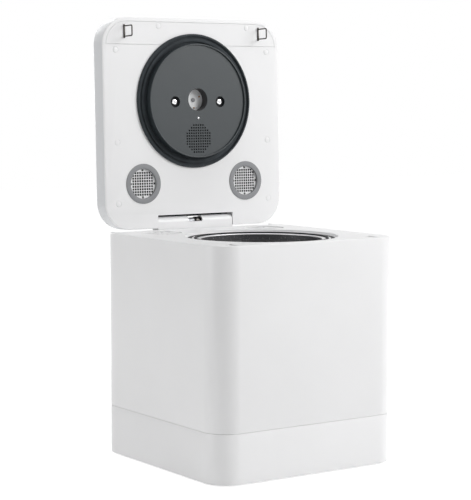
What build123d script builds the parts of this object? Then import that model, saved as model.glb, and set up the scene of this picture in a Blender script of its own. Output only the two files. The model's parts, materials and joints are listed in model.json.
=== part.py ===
from build123d import *
import os
from math import atan, cos, radians, sin, sqrt, tan

os.makedirs("parts", exist_ok=True)

# ======================================================================
# Driving dimensions, in millimetres
# ======================================================================

# Body: a square tower in two mouldings, parted by a seam near the bottom
body_width = 290
body_depth = 290
body_height = 301.1
base_height = 64.7
corner_radius = 34.6
housing_wall = 2.8
deck_wall = 3.0
floor_wall = 3.0
seam_gap = 0.6
under_edge = 1.2
deck_edge = 0.8
foot_proud = 3.0
fit_gap = 0.3
tongue_wall = 1.4
tongue_height = 4.0

# Feet and the long screws that hold the two mouldings together
foot_radius = 10.0
foot_seat = 1.5
foot_inset = 40.0
screw_inset = 26.0
boss_radius = 5.0
screw_radius = 1.9
screw_head_radius = 3.6
screw_head_height = 2.4
screw_tunnel = 18.0
screw_grip = 22.0
thread_gap = 0.05

# Lid: a flat box on a rear hinge, parked just past upright
lid_thickness = 26.8
lid_corner = 37.6
lid_wall = 2.5
lid_gap = 1.0
lid_edge = 3.0
open_angle = 91.72
hinge_inset = 7.9
hinge_drop = 8.5
panel_wall = 2.5

# Hinge
barrel_radius = 7.8
barrel_width = 123.6
barrel_wall = 1.6
notch_gap = 0.5
notch_depth = 18.1
notch_wall = 2.0
trough_depth = 2.8
trough_side = 14.0
trough_reach = 18.5
pad_wall = 3.2
pad_lap = 3.0
pin_radius = 3.0
running_gap = 0.05
window_width = 22.6
bearing_width = 8.0
block_width = 12.0
block_size = 13.0
spring_wire = 1.5
spring_turns = 6
wire_sides = 6
collar_width = 6.0

# Chamber, its rings at the deck and the bucket that hangs in it
chamber_front = 114.0
deck_opening = 102.3
groove_width = 1.6
ring_inner = 90.2
ring_drop = 2.8
gasket_inner = 87.4
gasket_outer = 89.6
gasket_drop = 1.8
flange_drop = 8.6
flange_lap = 6.0
chamber_wall = 1.6
chamber_inner = 84.6
chamber_floor = 111.0
bucket_mouth = 80.6
bucket_wall = 1.5
bucket_rim = 86.6
rim_height = 5.0
bucket_collar = 30.0
bucket_foot = 76.5
bucket_bottom = 119.0
insulation_inner = 90.5
insulation_outer = 97.0
heater_wall = 2.2
heater_height = 46.0

# Bail of the bucket, folded down inside the mouth
bail_drop = 12.5
bail_width = 4.0
bail_height = 5.0
bail_gap = 1.2
bail_pin = 2.0

# Stirrer
shaft_radius = 6.0
stirrer_hub = 13.0
stirrer_height = 62.0
arm_reach = 71.0
arm_width = 15.0
arm_thickness = 7.0
arm_count = 3
dog_size = 13.0
dog_gap = 0.3
socket_radius = 13.0

# Gear train: motor pinion, compound idler, output wheel
gear_module = 2.0
pressure_angle = 25
addendum = 0.8
dedendum = 1.05
backlash = 0.24
pinion_teeth = 12
idler_teeth = 30
step_teeth = 12
output_teeth = 40
gear_face = 9.0
output_shaft = 5.0
idler_pin = 3.0
motor_pin = 2.5
case_wall = 2.5
case_floor = 66.0
case_height = 26.0
chassis_wall = 2.5
motor_radius = 30.0
motor_length = 50.0

# Air path: two upright carbon filters, a duct and a fan behind the rear grille
filter_x = 85.0
filter_rear = 62.6
filter_radius = 27.0
filter_gap = 0.6
filter_length = 108.0
well_wall = 2.0
duct_wall = 2.0
duct_depth = 38.0
duct_height = 60.0
fan_size = 60.0
fan_depth = 15.0
fan_throat = 28.0
fan_hub = 13.0
fan_blades = 7
grille_size = 66.0
slat_pitch = 6.0
slat_gap = 3.0

# Lid furniture
disc_edge = 79.0
disc_lip = 12.8
disc_sink = 2.4
disc_wall = 2.5
seal_outer = 93.2
seal_height = 3.4
lamp_hole = 15.8
lamp_well_wall = 2.0
disc_screw_x = 37.2
counterbore_radius = 7.6
pan_head = 4.2
mesh_pitch = 3.75
mesh_hole = 2.2
disc_mesh_radius = 20.8
disc_mesh_drop = 52.5
ring_outer_radius = 27.6
ring_inner_radius = 20.5
ring_proud = 0.8
mesh_sink = 2.2
mesh_wall = 1.2
strip_depth = 36.7
strip_inset = 5.0
strip_gap = 0.35
cap_radius = 4.0
cap_inset = 20.0
latch_x = 111.0
latch_front = 19.0
latch_span = 14.0
latch_reach = 22.0
latch_wire = 0.9
latch_foot_width = 3.0
window_long = 168.0
window_short = 42.0
window_front = 36.0
window_wall = 1.4

# Lid lock: a sliding bar with two hooks under the deck, pulled by a solenoid
slot_length = 20.0
slot_width = 7.0
bar_wall = 2.0
bar_drop = 26.0
hook_length = 5.5
plunger_radius = 3.0

# Power inlet at the rear
inlet_x = 92.0
inlet_z = 35.0
inlet_width = 27.0
inlet_height = 20.0
inlet_flange = 50.0

# ======================================================================
# Levels and places worked out from the dimensions
# ======================================================================

base_z = foot_proud
seam_z = base_z + base_height
deck_z = base_z + body_height
rear_y = body_depth / 2
lid_width = body_width
lid_depth = body_depth
chamber_y = chamber_front - rear_y
filter_y = rear_y - filter_rear
trough_width = body_width - 2 * trough_side
inner_width = body_width - 2 * housing_wall
inner_depth = body_depth - 2 * housing_wall
inner_corner = corner_radius - housing_wall

hinge_y = rear_y - hinge_inset
hinge_z = deck_z + lid_gap + hinge_drop

# Lid frame: x across, y from the rear edge to the front edge, z out of the inner face
tilt = radians(open_angle)
lid_up = Vector(0, -cos(tilt), sin(tilt))
lid_out = Vector(0, -sin(tilt), -cos(tilt))
lid_origin = Vector(0, hinge_y, hinge_z) - lid_up * hinge_inset + lid_out * hinge_drop
lid_face = Plane(origin=lid_origin, x_dir=(1, 0, 0), z_dir=lid_out)
disc_s = rear_y - chamber_y
port_x = filter_x
port_s = filter_rear
latch_s = lid_depth - latch_front
window_s = lid_depth - window_front
strip_start = lid_depth - strip_depth
disc_centre = lid_face.from_local_coords((0, disc_s, 0))
disc_axis = Axis(disc_centre, lid_out)
disc_section = Plane(origin=disc_centre, x_dir=(1, 0, 0), z_dir=lid_up * -1)

chamber_axis = Axis((0, chamber_y, 0), (0, 0, 1))
chamber_section = Plane(origin=(0, chamber_y, 0), x_dir=(1, 0, 0), z_dir=(0, -1, 0))
flange_z = deck_z - flange_drop
bail_z = deck_z - bail_drop - bail_height / 2

case_top = case_floor + case_height
chassis_z = case_top
chassis_top = chassis_z + chassis_wall
idler_y = chamber_y + gear_module * (output_teeth + step_teeth) / 2
motor_y = idler_y + gear_module * (idler_teeth + pinion_teeth) / 2
low_gear_z = case_floor + case_wall + 1.0
high_gear_z = low_gear_z + gear_face + 1.0

screw_x = body_width / 2 - screw_inset
screw_y = body_depth / 2 - screw_inset
screw_places = [(x, y) for x in (-screw_x, screw_x) for y in (-screw_y, screw_y)]
foot_x = body_width / 2 - foot_inset
foot_y = body_depth / 2 - foot_inset
foot_places = [(x, y) for x in (-foot_x, foot_x) for y in (-foot_y, foot_y)]
filter_places = [(-filter_x, filter_y), (filter_x, filter_y)]
well_foot = deck_z - 1.0 - filter_length
duct_z = well_foot - duct_height
duct_y = filter_y + 16.0
fan_z = duct_z + duct_height / 2
fan_back = rear_y - housing_wall - 1.5
fan_front = fan_back - fan_depth
latch_y = rear_y - latch_s
bar_z = deck_z - bar_drop - bar_wall


def bowl(height):
    """Plane across the chamber's axis at a height."""
    return Plane(origin=(0, chamber_y, height), x_dir=(1, 0, 0), z_dir=(0, 0, 1))


def ring(outer, inner):
    """Flat ring in the sketch being drawn."""
    Circle(outer)
    Circle(inner, mode=Mode.SUBTRACT)


def square_mesh(radius, pitch, hole, count):
    """Square holes on a grid, kept inside a circle, in the sketch being drawn."""
    half = (count - 1) / 2
    cells = [((i - half) * pitch, (j - half) * pitch) for i in range(count) for j in range(count)]
    with Locations(*[cell for cell in cells if sqrt(cell[0] ** 2 + cell[1] ** 2) < radius]):
        Rectangle(hole, hole)


def involute_point(base, radius, offset):
    """Point of an involute flank at a radius, turned by the angle at its root."""
    roll = sqrt(max((radius / base) ** 2 - 1, 0))
    turn = roll - atan(roll) + offset
    return (radius * cos(turn), radius * sin(turn))


def gear_outline(teeth, turn):
    """Spur gear outline with one tooth at an angle, in the sketch being drawn."""
    pitch_radius = gear_module * teeth / 2
    base = pitch_radius * cos(radians(pressure_angle))
    tip = pitch_radius + addendum * gear_module
    root = pitch_radius - dedendum * gear_module
    half = radians(90 / teeth) - backlash / (2 * pitch_radius)
    start = -(half + tan(radians(pressure_angle)) - radians(pressure_angle))
    low = max(base, root)
    flank = [involute_point(base, low + (tip - low) * share, start) for share in (0, 0.35, 0.7, 1)]
    if root < base:
        flank.insert(0, (root * cos(start), root * sin(start)))
    tooth = flank + [(x, -y) for x, y in reversed(flank)]
    outline = []
    for number in range(teeth):
        angle = radians(turn + 360 / teeth * number)
        outline += [(x * cos(angle) - y * sin(angle), x * sin(angle) + y * cos(angle)) for x, y in tooth]
    Polygon(*outline, align=None)


# ======================================================================
# Base tray: lower moulding with bosses, chassis posts and air slots
# ======================================================================

post_places = [(x, chamber_y + y) for x in (-88, 88) for y in (-72, 88)]
post_radius = 5.0

with BuildPart() as base_tray:
    with BuildSketch(Plane.XY.offset(base_z)):
        RectangleRounded(body_width, body_depth, corner_radius)
    extrude(amount=base_height)
    chamfer(base_tray.faces().sort_by(Axis.Z)[0].edges(), under_edge)
    with BuildSketch(Plane.XY.offset(base_z + floor_wall)):
        RectangleRounded(inner_width, inner_depth, inner_corner)
    extrude(amount=base_height, mode=Mode.SUBTRACT)
    # tongue that stands inside the upper moulding
    lip = fit_gap + tongue_wall
    with BuildSketch(Plane.XY.offset(seam_z - tongue_height)):
        RectangleRounded(inner_width, inner_depth, inner_corner)
        RectangleRounded(inner_width - 2 * lip, inner_depth - 2 * lip, inner_corner - lip, mode=Mode.SUBTRACT)
    extrude(amount=tongue_height)
    with BuildSketch(Plane.XY.offset(seam_z)):
        RectangleRounded(inner_width - 2 * fit_gap, inner_depth - 2 * fit_gap, inner_corner - fit_gap)
        RectangleRounded(inner_width - 2 * lip, inner_depth - 2 * lip, inner_corner - lip, mode=Mode.SUBTRACT)
    extrude(amount=tongue_height)
    # screw bosses, foot seats and the posts under the chassis
    with BuildSketch(Plane.XY.offset(base_z)):
        with Locations(*screw_places):
            Circle(boss_radius)
    extrude(amount=base_height)
    with BuildSketch(Plane.XY.offset(base_z)):
        with Locations(*post_places):
            Circle(post_radius)
    extrude(amount=chassis_z - base_z)
    with BuildSketch(Plane.XY.offset(base_z)):
        with Locations(*foot_places):
            Circle(foot_radius + fit_gap)
    extrude(amount=foot_seat, mode=Mode.SUBTRACT)
    with BuildSketch(Plane.XY.offset(base_z)):
        with Locations(*screw_places):
            Circle(screw_head_radius + fit_gap)
    extrude(amount=screw_tunnel, mode=Mode.SUBTRACT)
    with BuildSketch(Plane.XY.offset(base_z)):
        with Locations(*screw_places):
            Circle(screw_radius + fit_gap)
    extrude(amount=base_height, mode=Mode.SUBTRACT)
    # air slots in the floor
    with BuildSketch(Plane.XY.offset(base_z)):
        with Locations((0, -95)):
            with GridLocations(9, 1, 7, 1):
                Rectangle(3.2, 34)
    extrude(amount=floor_wall, mode=Mode.SUBTRACT)
    # opening for the power inlet in the rear wall
    with BuildSketch(Plane(origin=(inlet_x, rear_y, inlet_z), x_dir=(1, 0, 0), z_dir=(0, -1, 0))):
        Rectangle(inlet_width + 2 * fit_gap, inlet_height + 2 * fit_gap)
    extrude(amount=housing_wall, mode=Mode.SUBTRACT)

base_tray.part.label = "base_tray"
export_step(base_tray.part, "parts/base_tray.step")

with BuildPart() as rubber_feet:
    with BuildSketch(Plane.XY):
        with Locations(*foot_places):
            Circle(foot_radius)
    extrude(amount=foot_proud + foot_seat)
    chamfer(rubber_feet.edges().group_by(Axis.Z)[0], 0.8)

rubber_feet.part.label = "rubber_feet"
export_step(rubber_feet.part, "parts/rubber_feet.step")

head_z = base_z + screw_tunnel - screw_head_height
with BuildPart() as base_screws:
    with BuildSketch(Plane.XY.offset(head_z)):
        with Locations(*screw_places):
            Circle(screw_head_radius)
    extrude(amount=screw_head_height)
    with BuildSketch(Plane.XY.offset(head_z)):
        with Locations(*screw_places):
            Circle(screw_radius)
    extrude(amount=seam_z + screw_grip - head_z)
    with BuildSketch(Plane.XY.offset(head_z)):
        with Locations(*screw_places):
            Rectangle(4, 0.9)
            Rectangle(0.9, 4)
    extrude(amount=1.2, mode=Mode.SUBTRACT)

base_screws.part.label = "base_screws"
export_step(base_screws.part, "parts/base_screws.step")

# ======================================================================
# Housing shell: upper moulding with the deck
# ======================================================================

shell_z = seam_z + seam_gap
trough_y = rear_y - trough_reach
hinge_screw_places = [(x, hinge_y) for x in (-42, -24, 24, 42)]

with BuildPart() as housing_shell:
    with BuildSketch(Plane.XY.offset(shell_z)):
        RectangleRounded(body_width, body_depth, corner_radius)
    extrude(amount=deck_z - shell_z)
    fillet(housing_shell.faces().sort_by(Axis.Z)[-1].edges(), deck_edge)
    with BuildSketch(Plane.XY.offset(shell_z)):
        RectangleRounded(inner_width, inner_depth, inner_corner)
    extrude(amount=deck_z - deck_wall - shell_z, mode=Mode.SUBTRACT)
    # thicker deck under the hinge trough
    with BuildSketch(Plane.XY.offset(deck_z - deck_wall - pad_wall)):
        with Locations((0, (trough_y - pad_lap + inner_depth / 2) / 2)):
            Rectangle(trough_width + 2 * pad_lap, inner_depth / 2 - trough_y + pad_lap)
        RectangleRounded(inner_width, inner_depth, inner_corner, mode=Mode.INTERSECT)
    extrude(amount=pad_wall)
    with BuildSketch(Plane.XY.offset(deck_z - trough_depth)):
        with Locations((0, trough_y + trough_reach)):
            Rectangle(trough_width, 2 * trough_reach)
    extrude(amount=2 * trough_depth, mode=Mode.SUBTRACT)
    # chamber mouth, filter ports and latch slots
    with BuildSketch(bowl(deck_z - deck_wall)):
        Circle(deck_opening)
    extrude(amount=deck_wall, mode=Mode.SUBTRACT)
    with BuildSketch(Plane.XY.offset(deck_z - deck_wall - pad_wall)):
        with Locations(*filter_places):
            Circle(filter_radius + filter_gap)
    extrude(amount=deck_wall + pad_wall, mode=Mode.SUBTRACT)
    with BuildSketch(Plane.XY.offset(deck_z - deck_wall)):
        with Locations((-latch_x, latch_y), (latch_x, latch_y)):
            RectangleRounded(slot_width, slot_length, 2)
    extrude(amount=deck_wall, mode=Mode.SUBTRACT)
    # screw posts with ribs to the corners
    with BuildSketch(Plane.XY.offset(shell_z)):
        with Locations(*screw_places):
            Circle(boss_radius)
        for x, y in screw_places:
            with Locations(Location((x * 1.06, y * 1.06, 0), 45 if x * y > 0 else -45)):
                Rectangle(24, 2)
        RectangleRounded(inner_width + 1, inner_depth + 1, inner_corner + 0.5, mode=Mode.INTERSECT)
    extrude(amount=screw_grip + 8)
    with BuildSketch(Plane.XY.offset(shell_z)):
        with Locations(*screw_places):
            Circle(screw_radius + thread_gap)
    extrude(amount=screw_grip + 4, mode=Mode.SUBTRACT)
    # room for the base tray's tongue
    room = lip + 0.5
    with BuildSketch(Plane.XY.offset(shell_z)):
        RectangleRounded(inner_width, inner_depth, inner_corner)
        RectangleRounded(
            inner_width - 2 * room, inner_depth - 2 * room, inner_corner - room, mode=Mode.SUBTRACT
        )
    extrude(amount=tongue_height + 0.5 - seam_gap, mode=Mode.SUBTRACT)
    # screw holes under the hinge and the rear grille opening
    with BuildSketch(Plane.XY.offset(deck_z - deck_wall - pad_wall)):
        with Locations(*hinge_screw_places):
            Circle(1.9)
    extrude(amount=deck_wall + pad_wall, mode=Mode.SUBTRACT)
    with BuildSketch(Plane(origin=(0, rear_y, fan_z), x_dir=(1, 0, 0), z_dir=(0, -1, 0))):
        RectangleRounded(grille_size, grille_size, 5)
    extrude(amount=housing_wall, mode=Mode.SUBTRACT)

housing_shell.part.label = "housing_shell"
export_step(housing_shell.part, "parts/housing_shell.step")

# ======================================================================
# Chamber: deck ring, gasket, heated pot, heater band, insulation
# ======================================================================

with BuildPart() as deck_ring:
    with BuildSketch(bowl(flange_z)):
        ring(deck_opening - groove_width, ring_inner)
    extrude(amount=flange_drop - ring_drop)
    chamfer(deck_ring.faces().sort_by(Axis.Z)[-1].edges(), 0.6)
    # lower flange that clamps the pot under the deck
    with BuildSketch(bowl(flange_z)):
        ring(deck_opening + flange_lap, ring_inner)
    extrude(amount=flange_drop - deck_wall - 0.2)

deck_ring.part.label = "deck_ring"
export_step(deck_ring.part, "parts/deck_ring.step")

with BuildPart() as chamber_gasket:
    with BuildSketch(bowl(flange_z)):
        ring(gasket_outer, gasket_inner)
    extrude(amount=flange_drop - gasket_drop)
    chamfer(chamber_gasket.faces().sort_by(Axis.Z)[-1].edges(), 0.6)

chamber_gasket.part.label = "chamber_gasket"
export_step(chamber_gasket.part, "parts/chamber_gasket.step")

chamber_outer = chamber_inner + chamber_wall
chamber_flange = deck_opening + flange_lap
shaft_hole = output_shaft + 1.0

with BuildPart() as heating_chamber:
    with BuildSketch(chamber_section):
        with BuildLine():
            Polyline(
                (shaft_hole, chamber_floor - chamber_wall),
                (chamber_outer, chamber_floor - chamber_wall),
                (chamber_outer, flange_z - chamber_wall),
                (chamber_flange, flange_z - chamber_wall),
                (chamber_flange, flange_z),
                (chamber_inner, flange_z),
                (chamber_inner, chamber_floor),
                (shaft_hole, chamber_floor),
                close=True,
            )
        make_face()
    revolve(axis=chamber_axis)

heating_chamber.part.label = "heating_chamber"
export_step(heating_chamber.part, "parts/heating_chamber.step")

# posts that stand the pot on the chassis
with BuildPart() as chamber_posts:
    with BuildSketch(bowl(chassis_top)):
        with PolarLocations(chamber_inner - 16, 4, start_angle=45):
            Circle(post_radius)
    extrude(amount=chamber_floor - chamber_wall - chassis_top)

chamber_posts.part.label = "chamber_posts"
export_step(chamber_posts.part, "parts/chamber_posts.step")

heater_low = chamber_floor + 6
with BuildPart() as heater_band:
    with BuildSketch(bowl(heater_low)):
        ring(chamber_outer + heater_wall + 0.1, chamber_outer + 0.1)
        with Locations((0, chamber_outer + 1)):
            Rectangle(1.5, 8, mode=Mode.SUBTRACT)
        # clamp ears either side of the split
        with Locations((-2.2, chamber_outer + 5), (2.2, chamber_outer + 5)):
            Rectangle(1.8, 8)
    extrude(amount=heater_height)

heater_band.part.label = "heater_band"
export_step(heater_band.part, "parts/heater_band.step")

with BuildPart() as insulation_sleeve:
    with BuildSketch(bowl(heater_low)):
        ring(insulation_outer, insulation_inner)
        with Locations((0, insulation_outer - 4)):
            Rectangle(26, 16, mode=Mode.SUBTRACT)
    extrude(amount=flange_z - chamber_wall - 1 - heater_low)

insulation_sleeve.part.label = "insulation_sleeve"
export_step(insulation_sleeve.part, "parts/insulation_sleeve.step")

# ======================================================================
# Chassis, gearbox, gears and motor
# ======================================================================

chassis_width = 200
chassis_low_y = chamber_y - 84
chassis_high_y = chamber_y + 100
with BuildPart() as chassis_plate:
    with BuildSketch(Plane.XY.offset(chassis_z)):
        with Locations((0, (chassis_low_y + chassis_high_y) / 2)):
            RectangleRounded(chassis_width, chassis_high_y - chassis_low_y, 14)
        with Locations((0, chamber_y)):
            Circle(output_shaft + 4, mode=Mode.SUBTRACT)
        with Locations(*post_places):
            Circle(1.6, mode=Mode.SUBTRACT)
        # lightening slots either side of the gearbox
        with Locations((-72, chamber_y), (72, chamber_y)):
            SlotOverall(80, 14, rotation=90, mode=Mode.SUBTRACT)
    extrude(amount=chassis_wall)
    with BuildSketch(Plane.XY.offset(chassis_top)):
        with Locations((0, (chassis_low_y + chassis_high_y) / 2)):
            RectangleRounded(chassis_width, chassis_high_y - chassis_low_y, 14)
            RectangleRounded(chassis_width - 4, chassis_high_y - chassis_low_y - 4, 12, mode=Mode.SUBTRACT)
    extrude(amount=6)

chassis_plate.part.label = "chassis_plate"
export_step(chassis_plate.part, "parts/chassis_plate.step")

with BuildPart() as chassis_screws:
    with BuildSketch(Plane.XY.offset(chassis_top)):
        with Locations(*post_places):
            Circle(3.5)
    extrude(amount=2)
    with BuildSketch(Plane.XY.offset(chassis_z)):
        with Locations(*post_places):
            Circle(1.5)
    extrude(amount=chassis_wall)

chassis_screws.part.label = "chassis_screws"
export_step(chassis_screws.part, "parts/chassis_screws.step")


def case_outline(wall):
    """Gearbox outline round the three shafts, in the sketch being drawn."""
    tip = addendum * gear_module + 2.5
    with Locations((0, chamber_y)):
        Circle(gear_module * output_teeth / 2 + tip + wall)
    with Locations((0, idler_y)):
        Circle(gear_module * idler_teeth / 2 + tip + wall)
    with Locations((0, motor_y)):
        Circle(gear_module * pinion_teeth / 2 + tip + wall + 4)
    make_hull()


with BuildPart() as gearbox_case:
    with BuildSketch(Plane.XY.offset(case_floor)):
        case_outline(case_wall)
    extrude(amount=case_height - case_wall)
    with BuildSketch(Plane.XY.offset(case_floor + case_wall)):
        case_outline(0)
    extrude(amount=case_height, mode=Mode.SUBTRACT)
    with BuildSketch(Plane.XY.offset(case_floor - 5)):
        with Locations((0, chamber_y)):
            Circle(output_shaft + 6)
        with Locations((0, idler_y)):
            Circle(idler_pin + 4)
    extrude(amount=5)
    with BuildSketch(Plane.XY.offset(case_floor - 3)):
        with Locations((0, chamber_y)):
            Circle(output_shaft + running_gap)
        with Locations((0, idler_y)):
            Circle(idler_pin + running_gap)
    extrude(amount=3 + case_wall, mode=Mode.SUBTRACT)
    with BuildSketch(Plane.XY.offset(case_floor)):
        with Locations((0, motor_y)):
            Circle(motor_pin + 2)
    extrude(amount=case_wall, mode=Mode.SUBTRACT)

gearbox_case.part.label = "gearbox_case"
export_step(gearbox_case.part, "parts/gearbox_case.step")

with BuildPart() as gearbox_cover:
    with BuildSketch(Plane.XY.offset(case_top - case_wall)):
        case_outline(case_wall)
        with Locations((0, chamber_y)):
            Circle(output_shaft + 3, mode=Mode.SUBTRACT)
        with Locations((0, idler_y)):
            Circle(idler_pin + running_gap, mode=Mode.SUBTRACT)
    extrude(amount=case_wall)

gearbox_cover.part.label = "gearbox_cover"
export_step(gearbox_cover.part, "parts/gearbox_cover.step")

with BuildPart() as shaft_bush:
    with BuildSketch(bowl(case_top - case_wall)):
        ring(output_shaft + 3, output_shaft + running_gap)
    extrude(amount=chassis_top - case_top + case_wall)
    with BuildSketch(bowl(chassis_top)):
        ring(output_shaft + 6, output_shaft + running_gap)
    extrude(amount=2)

shaft_bush.part.label = "shaft_bush"
export_step(shaft_bush.part, "parts/shaft_bush.step")

with BuildPart() as output_gear:
    with BuildSketch(bowl(low_gear_z)):
        gear_outline(output_teeth, 90)
        Circle(output_shaft, mode=Mode.SUBTRACT)
        with PolarLocations(24, 6):
            Circle(7, mode=Mode.SUBTRACT)
    extrude(amount=gear_face)

output_gear.part.label = "output_gear"
export_step(output_gear.part, "parts/output_gear.step")

seal_z = chamber_floor - chamber_wall - 6
dog_z = chamber_floor + 0.6
dog_top = bucket_bottom - 2.4
with BuildPart() as drive_shaft:
    with BuildSketch(bowl(case_floor - 2.5)):
        Circle(output_shaft)
    extrude(amount=dog_z - case_floor + 2.5)
    with BuildSketch(bowl(dog_z)):
        RectangleRounded(dog_size, dog_size, 2)
    extrude(amount=dog_top - dog_z)
    chamfer(drive_shaft.faces().sort_by(Axis.Z)[-1].edges(), 0.8)

drive_shaft.part.label = "drive_shaft"
export_step(drive_shaft.part, "parts/drive_shaft.step")

with BuildPart() as shaft_seal:
    with BuildSketch(bowl(seal_z)):
        ring(output_shaft + 7, output_shaft + 0.35)
    extrude(amount=6)
    with BuildSketch(bowl(seal_z + 6)):
        ring(shaft_hole - 0.1, output_shaft + 0.35)
    extrude(amount=chamber_wall)

shaft_seal.part.label = "shaft_seal"
export_step(shaft_seal.part, "parts/shaft_seal.step")

with BuildPart() as idler_gear:
    with BuildSketch(Plane(origin=(0, idler_y, low_gear_z), z_dir=(0, 0, 1))):
        gear_outline(step_teeth, 270 + 180 / step_teeth)
    extrude(amount=gear_face + 1)
    with BuildSketch(Plane(origin=(0, idler_y, high_gear_z), z_dir=(0, 0, 1))):
        gear_outline(idler_teeth, 90)
        with PolarLocations(20, 5):
            Circle(5.5, mode=Mode.SUBTRACT)
    extrude(amount=gear_face)
    with BuildSketch(Plane(origin=(0, idler_y, case_floor - 2.5), z_dir=(0, 0, 1))):
        Circle(idler_pin)
    extrude(amount=case_height + 2.5 - fit_gap)

idler_gear.part.label = "idler_gear"
export_step(idler_gear.part, "parts/idler_gear.step")

with BuildPart() as motor_pinion:
    with BuildSketch(Plane(origin=(0, motor_y, high_gear_z), z_dir=(0, 0, 1))):
        gear_outline(pinion_teeth, 270 + 180 / pinion_teeth)
    extrude(amount=gear_face)
    with BuildSketch(Plane(origin=(0, motor_y, case_floor - 14), z_dir=(0, 0, 1))):
        Circle(motor_pin)
    extrude(amount=high_gear_z - case_floor + 14)

motor_pinion.part.label = "motor_pinion"
export_step(motor_pinion.part, "parts/motor_pinion.step")

with BuildPart() as drive_motor:
    with BuildSketch(Plane(origin=(0, motor_y, case_floor - motor_length), z_dir=(0, 0, 1))):
        Circle(motor_radius)
    extrude(amount=motor_length)
    chamfer(drive_motor.edges().group_by(Axis.Z)[0], 2)
    with BuildSketch(Plane(origin=(0, motor_y, case_floor - motor_length - 4), z_dir=(0, 0, 1))):
        Circle(9)
    extrude(amount=4)
    with BuildSketch(Plane(origin=(0, motor_y, case_floor - 15), z_dir=(0, 0, 1))):
        Circle(motor_pin + running_gap)
    extrude(amount=15, mode=Mode.SUBTRACT)
    # cooling windows round the can
    with BuildSketch(Plane(origin=(0, motor_y, case_floor - motor_length + 6), z_dir=(0, 0, 1))):
        with PolarLocations(motor_radius, 8):
            Rectangle(3, 9)
    extrude(amount=10, mode=Mode.SUBTRACT)

drive_motor.part.label = "drive_motor"
export_step(drive_motor.part, "parts/drive_motor.step")

# ======================================================================
# Bucket, bail and stirrer
# ======================================================================

rim_z = flange_z
bail_outer = bucket_mouth - bail_gap

with BuildPart() as waste_bucket:
    with BuildSketch(chamber_section):
        with BuildLine():
            Polyline(
                (shaft_radius + running_gap, bucket_bottom),
                (bucket_foot, bucket_bottom),
                (bucket_mouth + bucket_wall, rim_z - bucket_collar),
                (bucket_mouth + bucket_wall, rim_z),
                (bucket_rim, rim_z),
                (bucket_rim, rim_z + rim_height),
                (bucket_mouth, rim_z + rim_height),
                (bucket_mouth, rim_z - bucket_collar),
                (bucket_foot - bucket_wall, bucket_bottom + 2 * bucket_wall),
                (stirrer_hub - 2, bucket_bottom + 2 * bucket_wall),
                (stirrer_hub - 2, bucket_bottom + 5 * bucket_wall),
                (shaft_radius + running_gap, bucket_bottom + 5 * bucket_wall),
                close=True,
            )
        make_face()
    revolve(axis=chamber_axis)
    chamfer(waste_bucket.edges().group_by(Axis.Z)[-1], 1)
    # holes for the bail's pins
    with BuildSketch(Plane(origin=(0, chamber_y, bail_z), x_dir=(0, 1, 0), z_dir=(1, 0, 0))):
        Circle(bail_pin + running_gap)
    extrude(amount=chamber_inner, both=True, mode=Mode.SUBTRACT)

waste_bucket.part.label = "waste_bucket"
export_step(waste_bucket.part, "parts/waste_bucket.step")

with BuildPart() as bucket_bail:
    with BuildSketch(bowl(bail_z - bail_height / 2)):
        ring(bail_outer, bail_outer - bail_width)
        with Locations((0, -bail_outer - 3)):
            Rectangle(4 * bail_outer, 2 * bail_outer, mode=Mode.SUBTRACT)
        # thumb tab in the middle of the bail
        with Locations((0, bail_outer - bail_width - 2)):
            RectangleRounded(34, 8, 3)
        Circle(bail_outer, mode=Mode.INTERSECT)
    extrude(amount=bail_height)
    with BuildSketch(Plane(origin=(0, chamber_y, bail_z), x_dir=(0, 1, 0), z_dir=(1, 0, 0))):
        Circle(bail_pin)
    extrude(amount=bucket_mouth + bucket_wall, both=True)
    with BuildSketch(Plane(origin=(0, chamber_y, bail_z), x_dir=(0, 1, 0), z_dir=(1, 0, 0))):
        Circle(2 * bail_pin)
    extrude(amount=bail_outer - bail_width, both=True, mode=Mode.SUBTRACT)

bucket_bail.part.label = "bucket_bail"
export_step(bucket_bail.part, "parts/bucket_bail.step")

hub_z = bucket_bottom + 5 * bucket_wall + fit_gap
with BuildPart() as stirrer:
    # socket under the bucket, shaft through its bush, hub above
    with BuildSketch(bowl(chamber_floor + 1)):
        Circle(socket_radius)
    extrude(amount=bucket_bottom - chamber_floor - 1 - fit_gap)
    with BuildSketch(bowl(chamber_floor + 1)):
        Circle(shaft_radius)
    extrude(amount=hub_z - chamber_floor)
    with BuildSketch(bowl(chamber_floor + 1)):
        RectangleRounded(dog_size + 2 * dog_gap, dog_size + 2 * dog_gap, 2)
    extrude(amount=dog_top - chamber_floor - 0.6, mode=Mode.SUBTRACT)
    with BuildSketch(bowl(hub_z)):
        Circle(stirrer_hub)
    extrude(amount=stirrer_height, taper=4)
    fillet(stirrer.faces().sort_by(Axis.Z)[-1].edges(), 6)
    # swept-back arms, each a step higher and a third of a turn on
    for step in range(arm_count):
        reach = arm_reach if step == 0 else arm_reach - 3
        with BuildSketch(bowl(hub_z + 1 + 17 * step)):
            with BuildLine(Rotation(0, 0, 360 / arm_count * step)):
                lead = ThreePointArc((0, arm_width / 2), (reach / 2, arm_width), (reach, 4))
                tip_edge = Line(lead @ 1, (reach - 3, -3))
                back = ThreePointArc(tip_edge @ 1, (reach / 2, arm_width / 5), (0, -arm_width / 2))
                Line(back @ 1, lead @ 0)
            make_face()
        extrude(amount=arm_thickness)

stirrer.part.label = "stirrer"
export_step(stirrer.part, "parts/stirrer.step")

# ======================================================================
# Air path: wells, filters, duct, fan and rear grille
# ======================================================================

well_outer = filter_radius + filter_gap + well_wall

with BuildPart() as filter_wells:
    with BuildSketch(Plane.XY.offset(well_foot)):
        with Locations(*filter_places):
            ring(well_outer, filter_radius + filter_gap)
    extrude(amount=deck_z - deck_wall - well_foot)
    # ledge that carries the filter
    with BuildSketch(Plane.XY.offset(well_foot)):
        with Locations(*filter_places):
            ring(filter_radius + filter_gap, filter_radius - 4)
    extrude(amount=well_wall)

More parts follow.
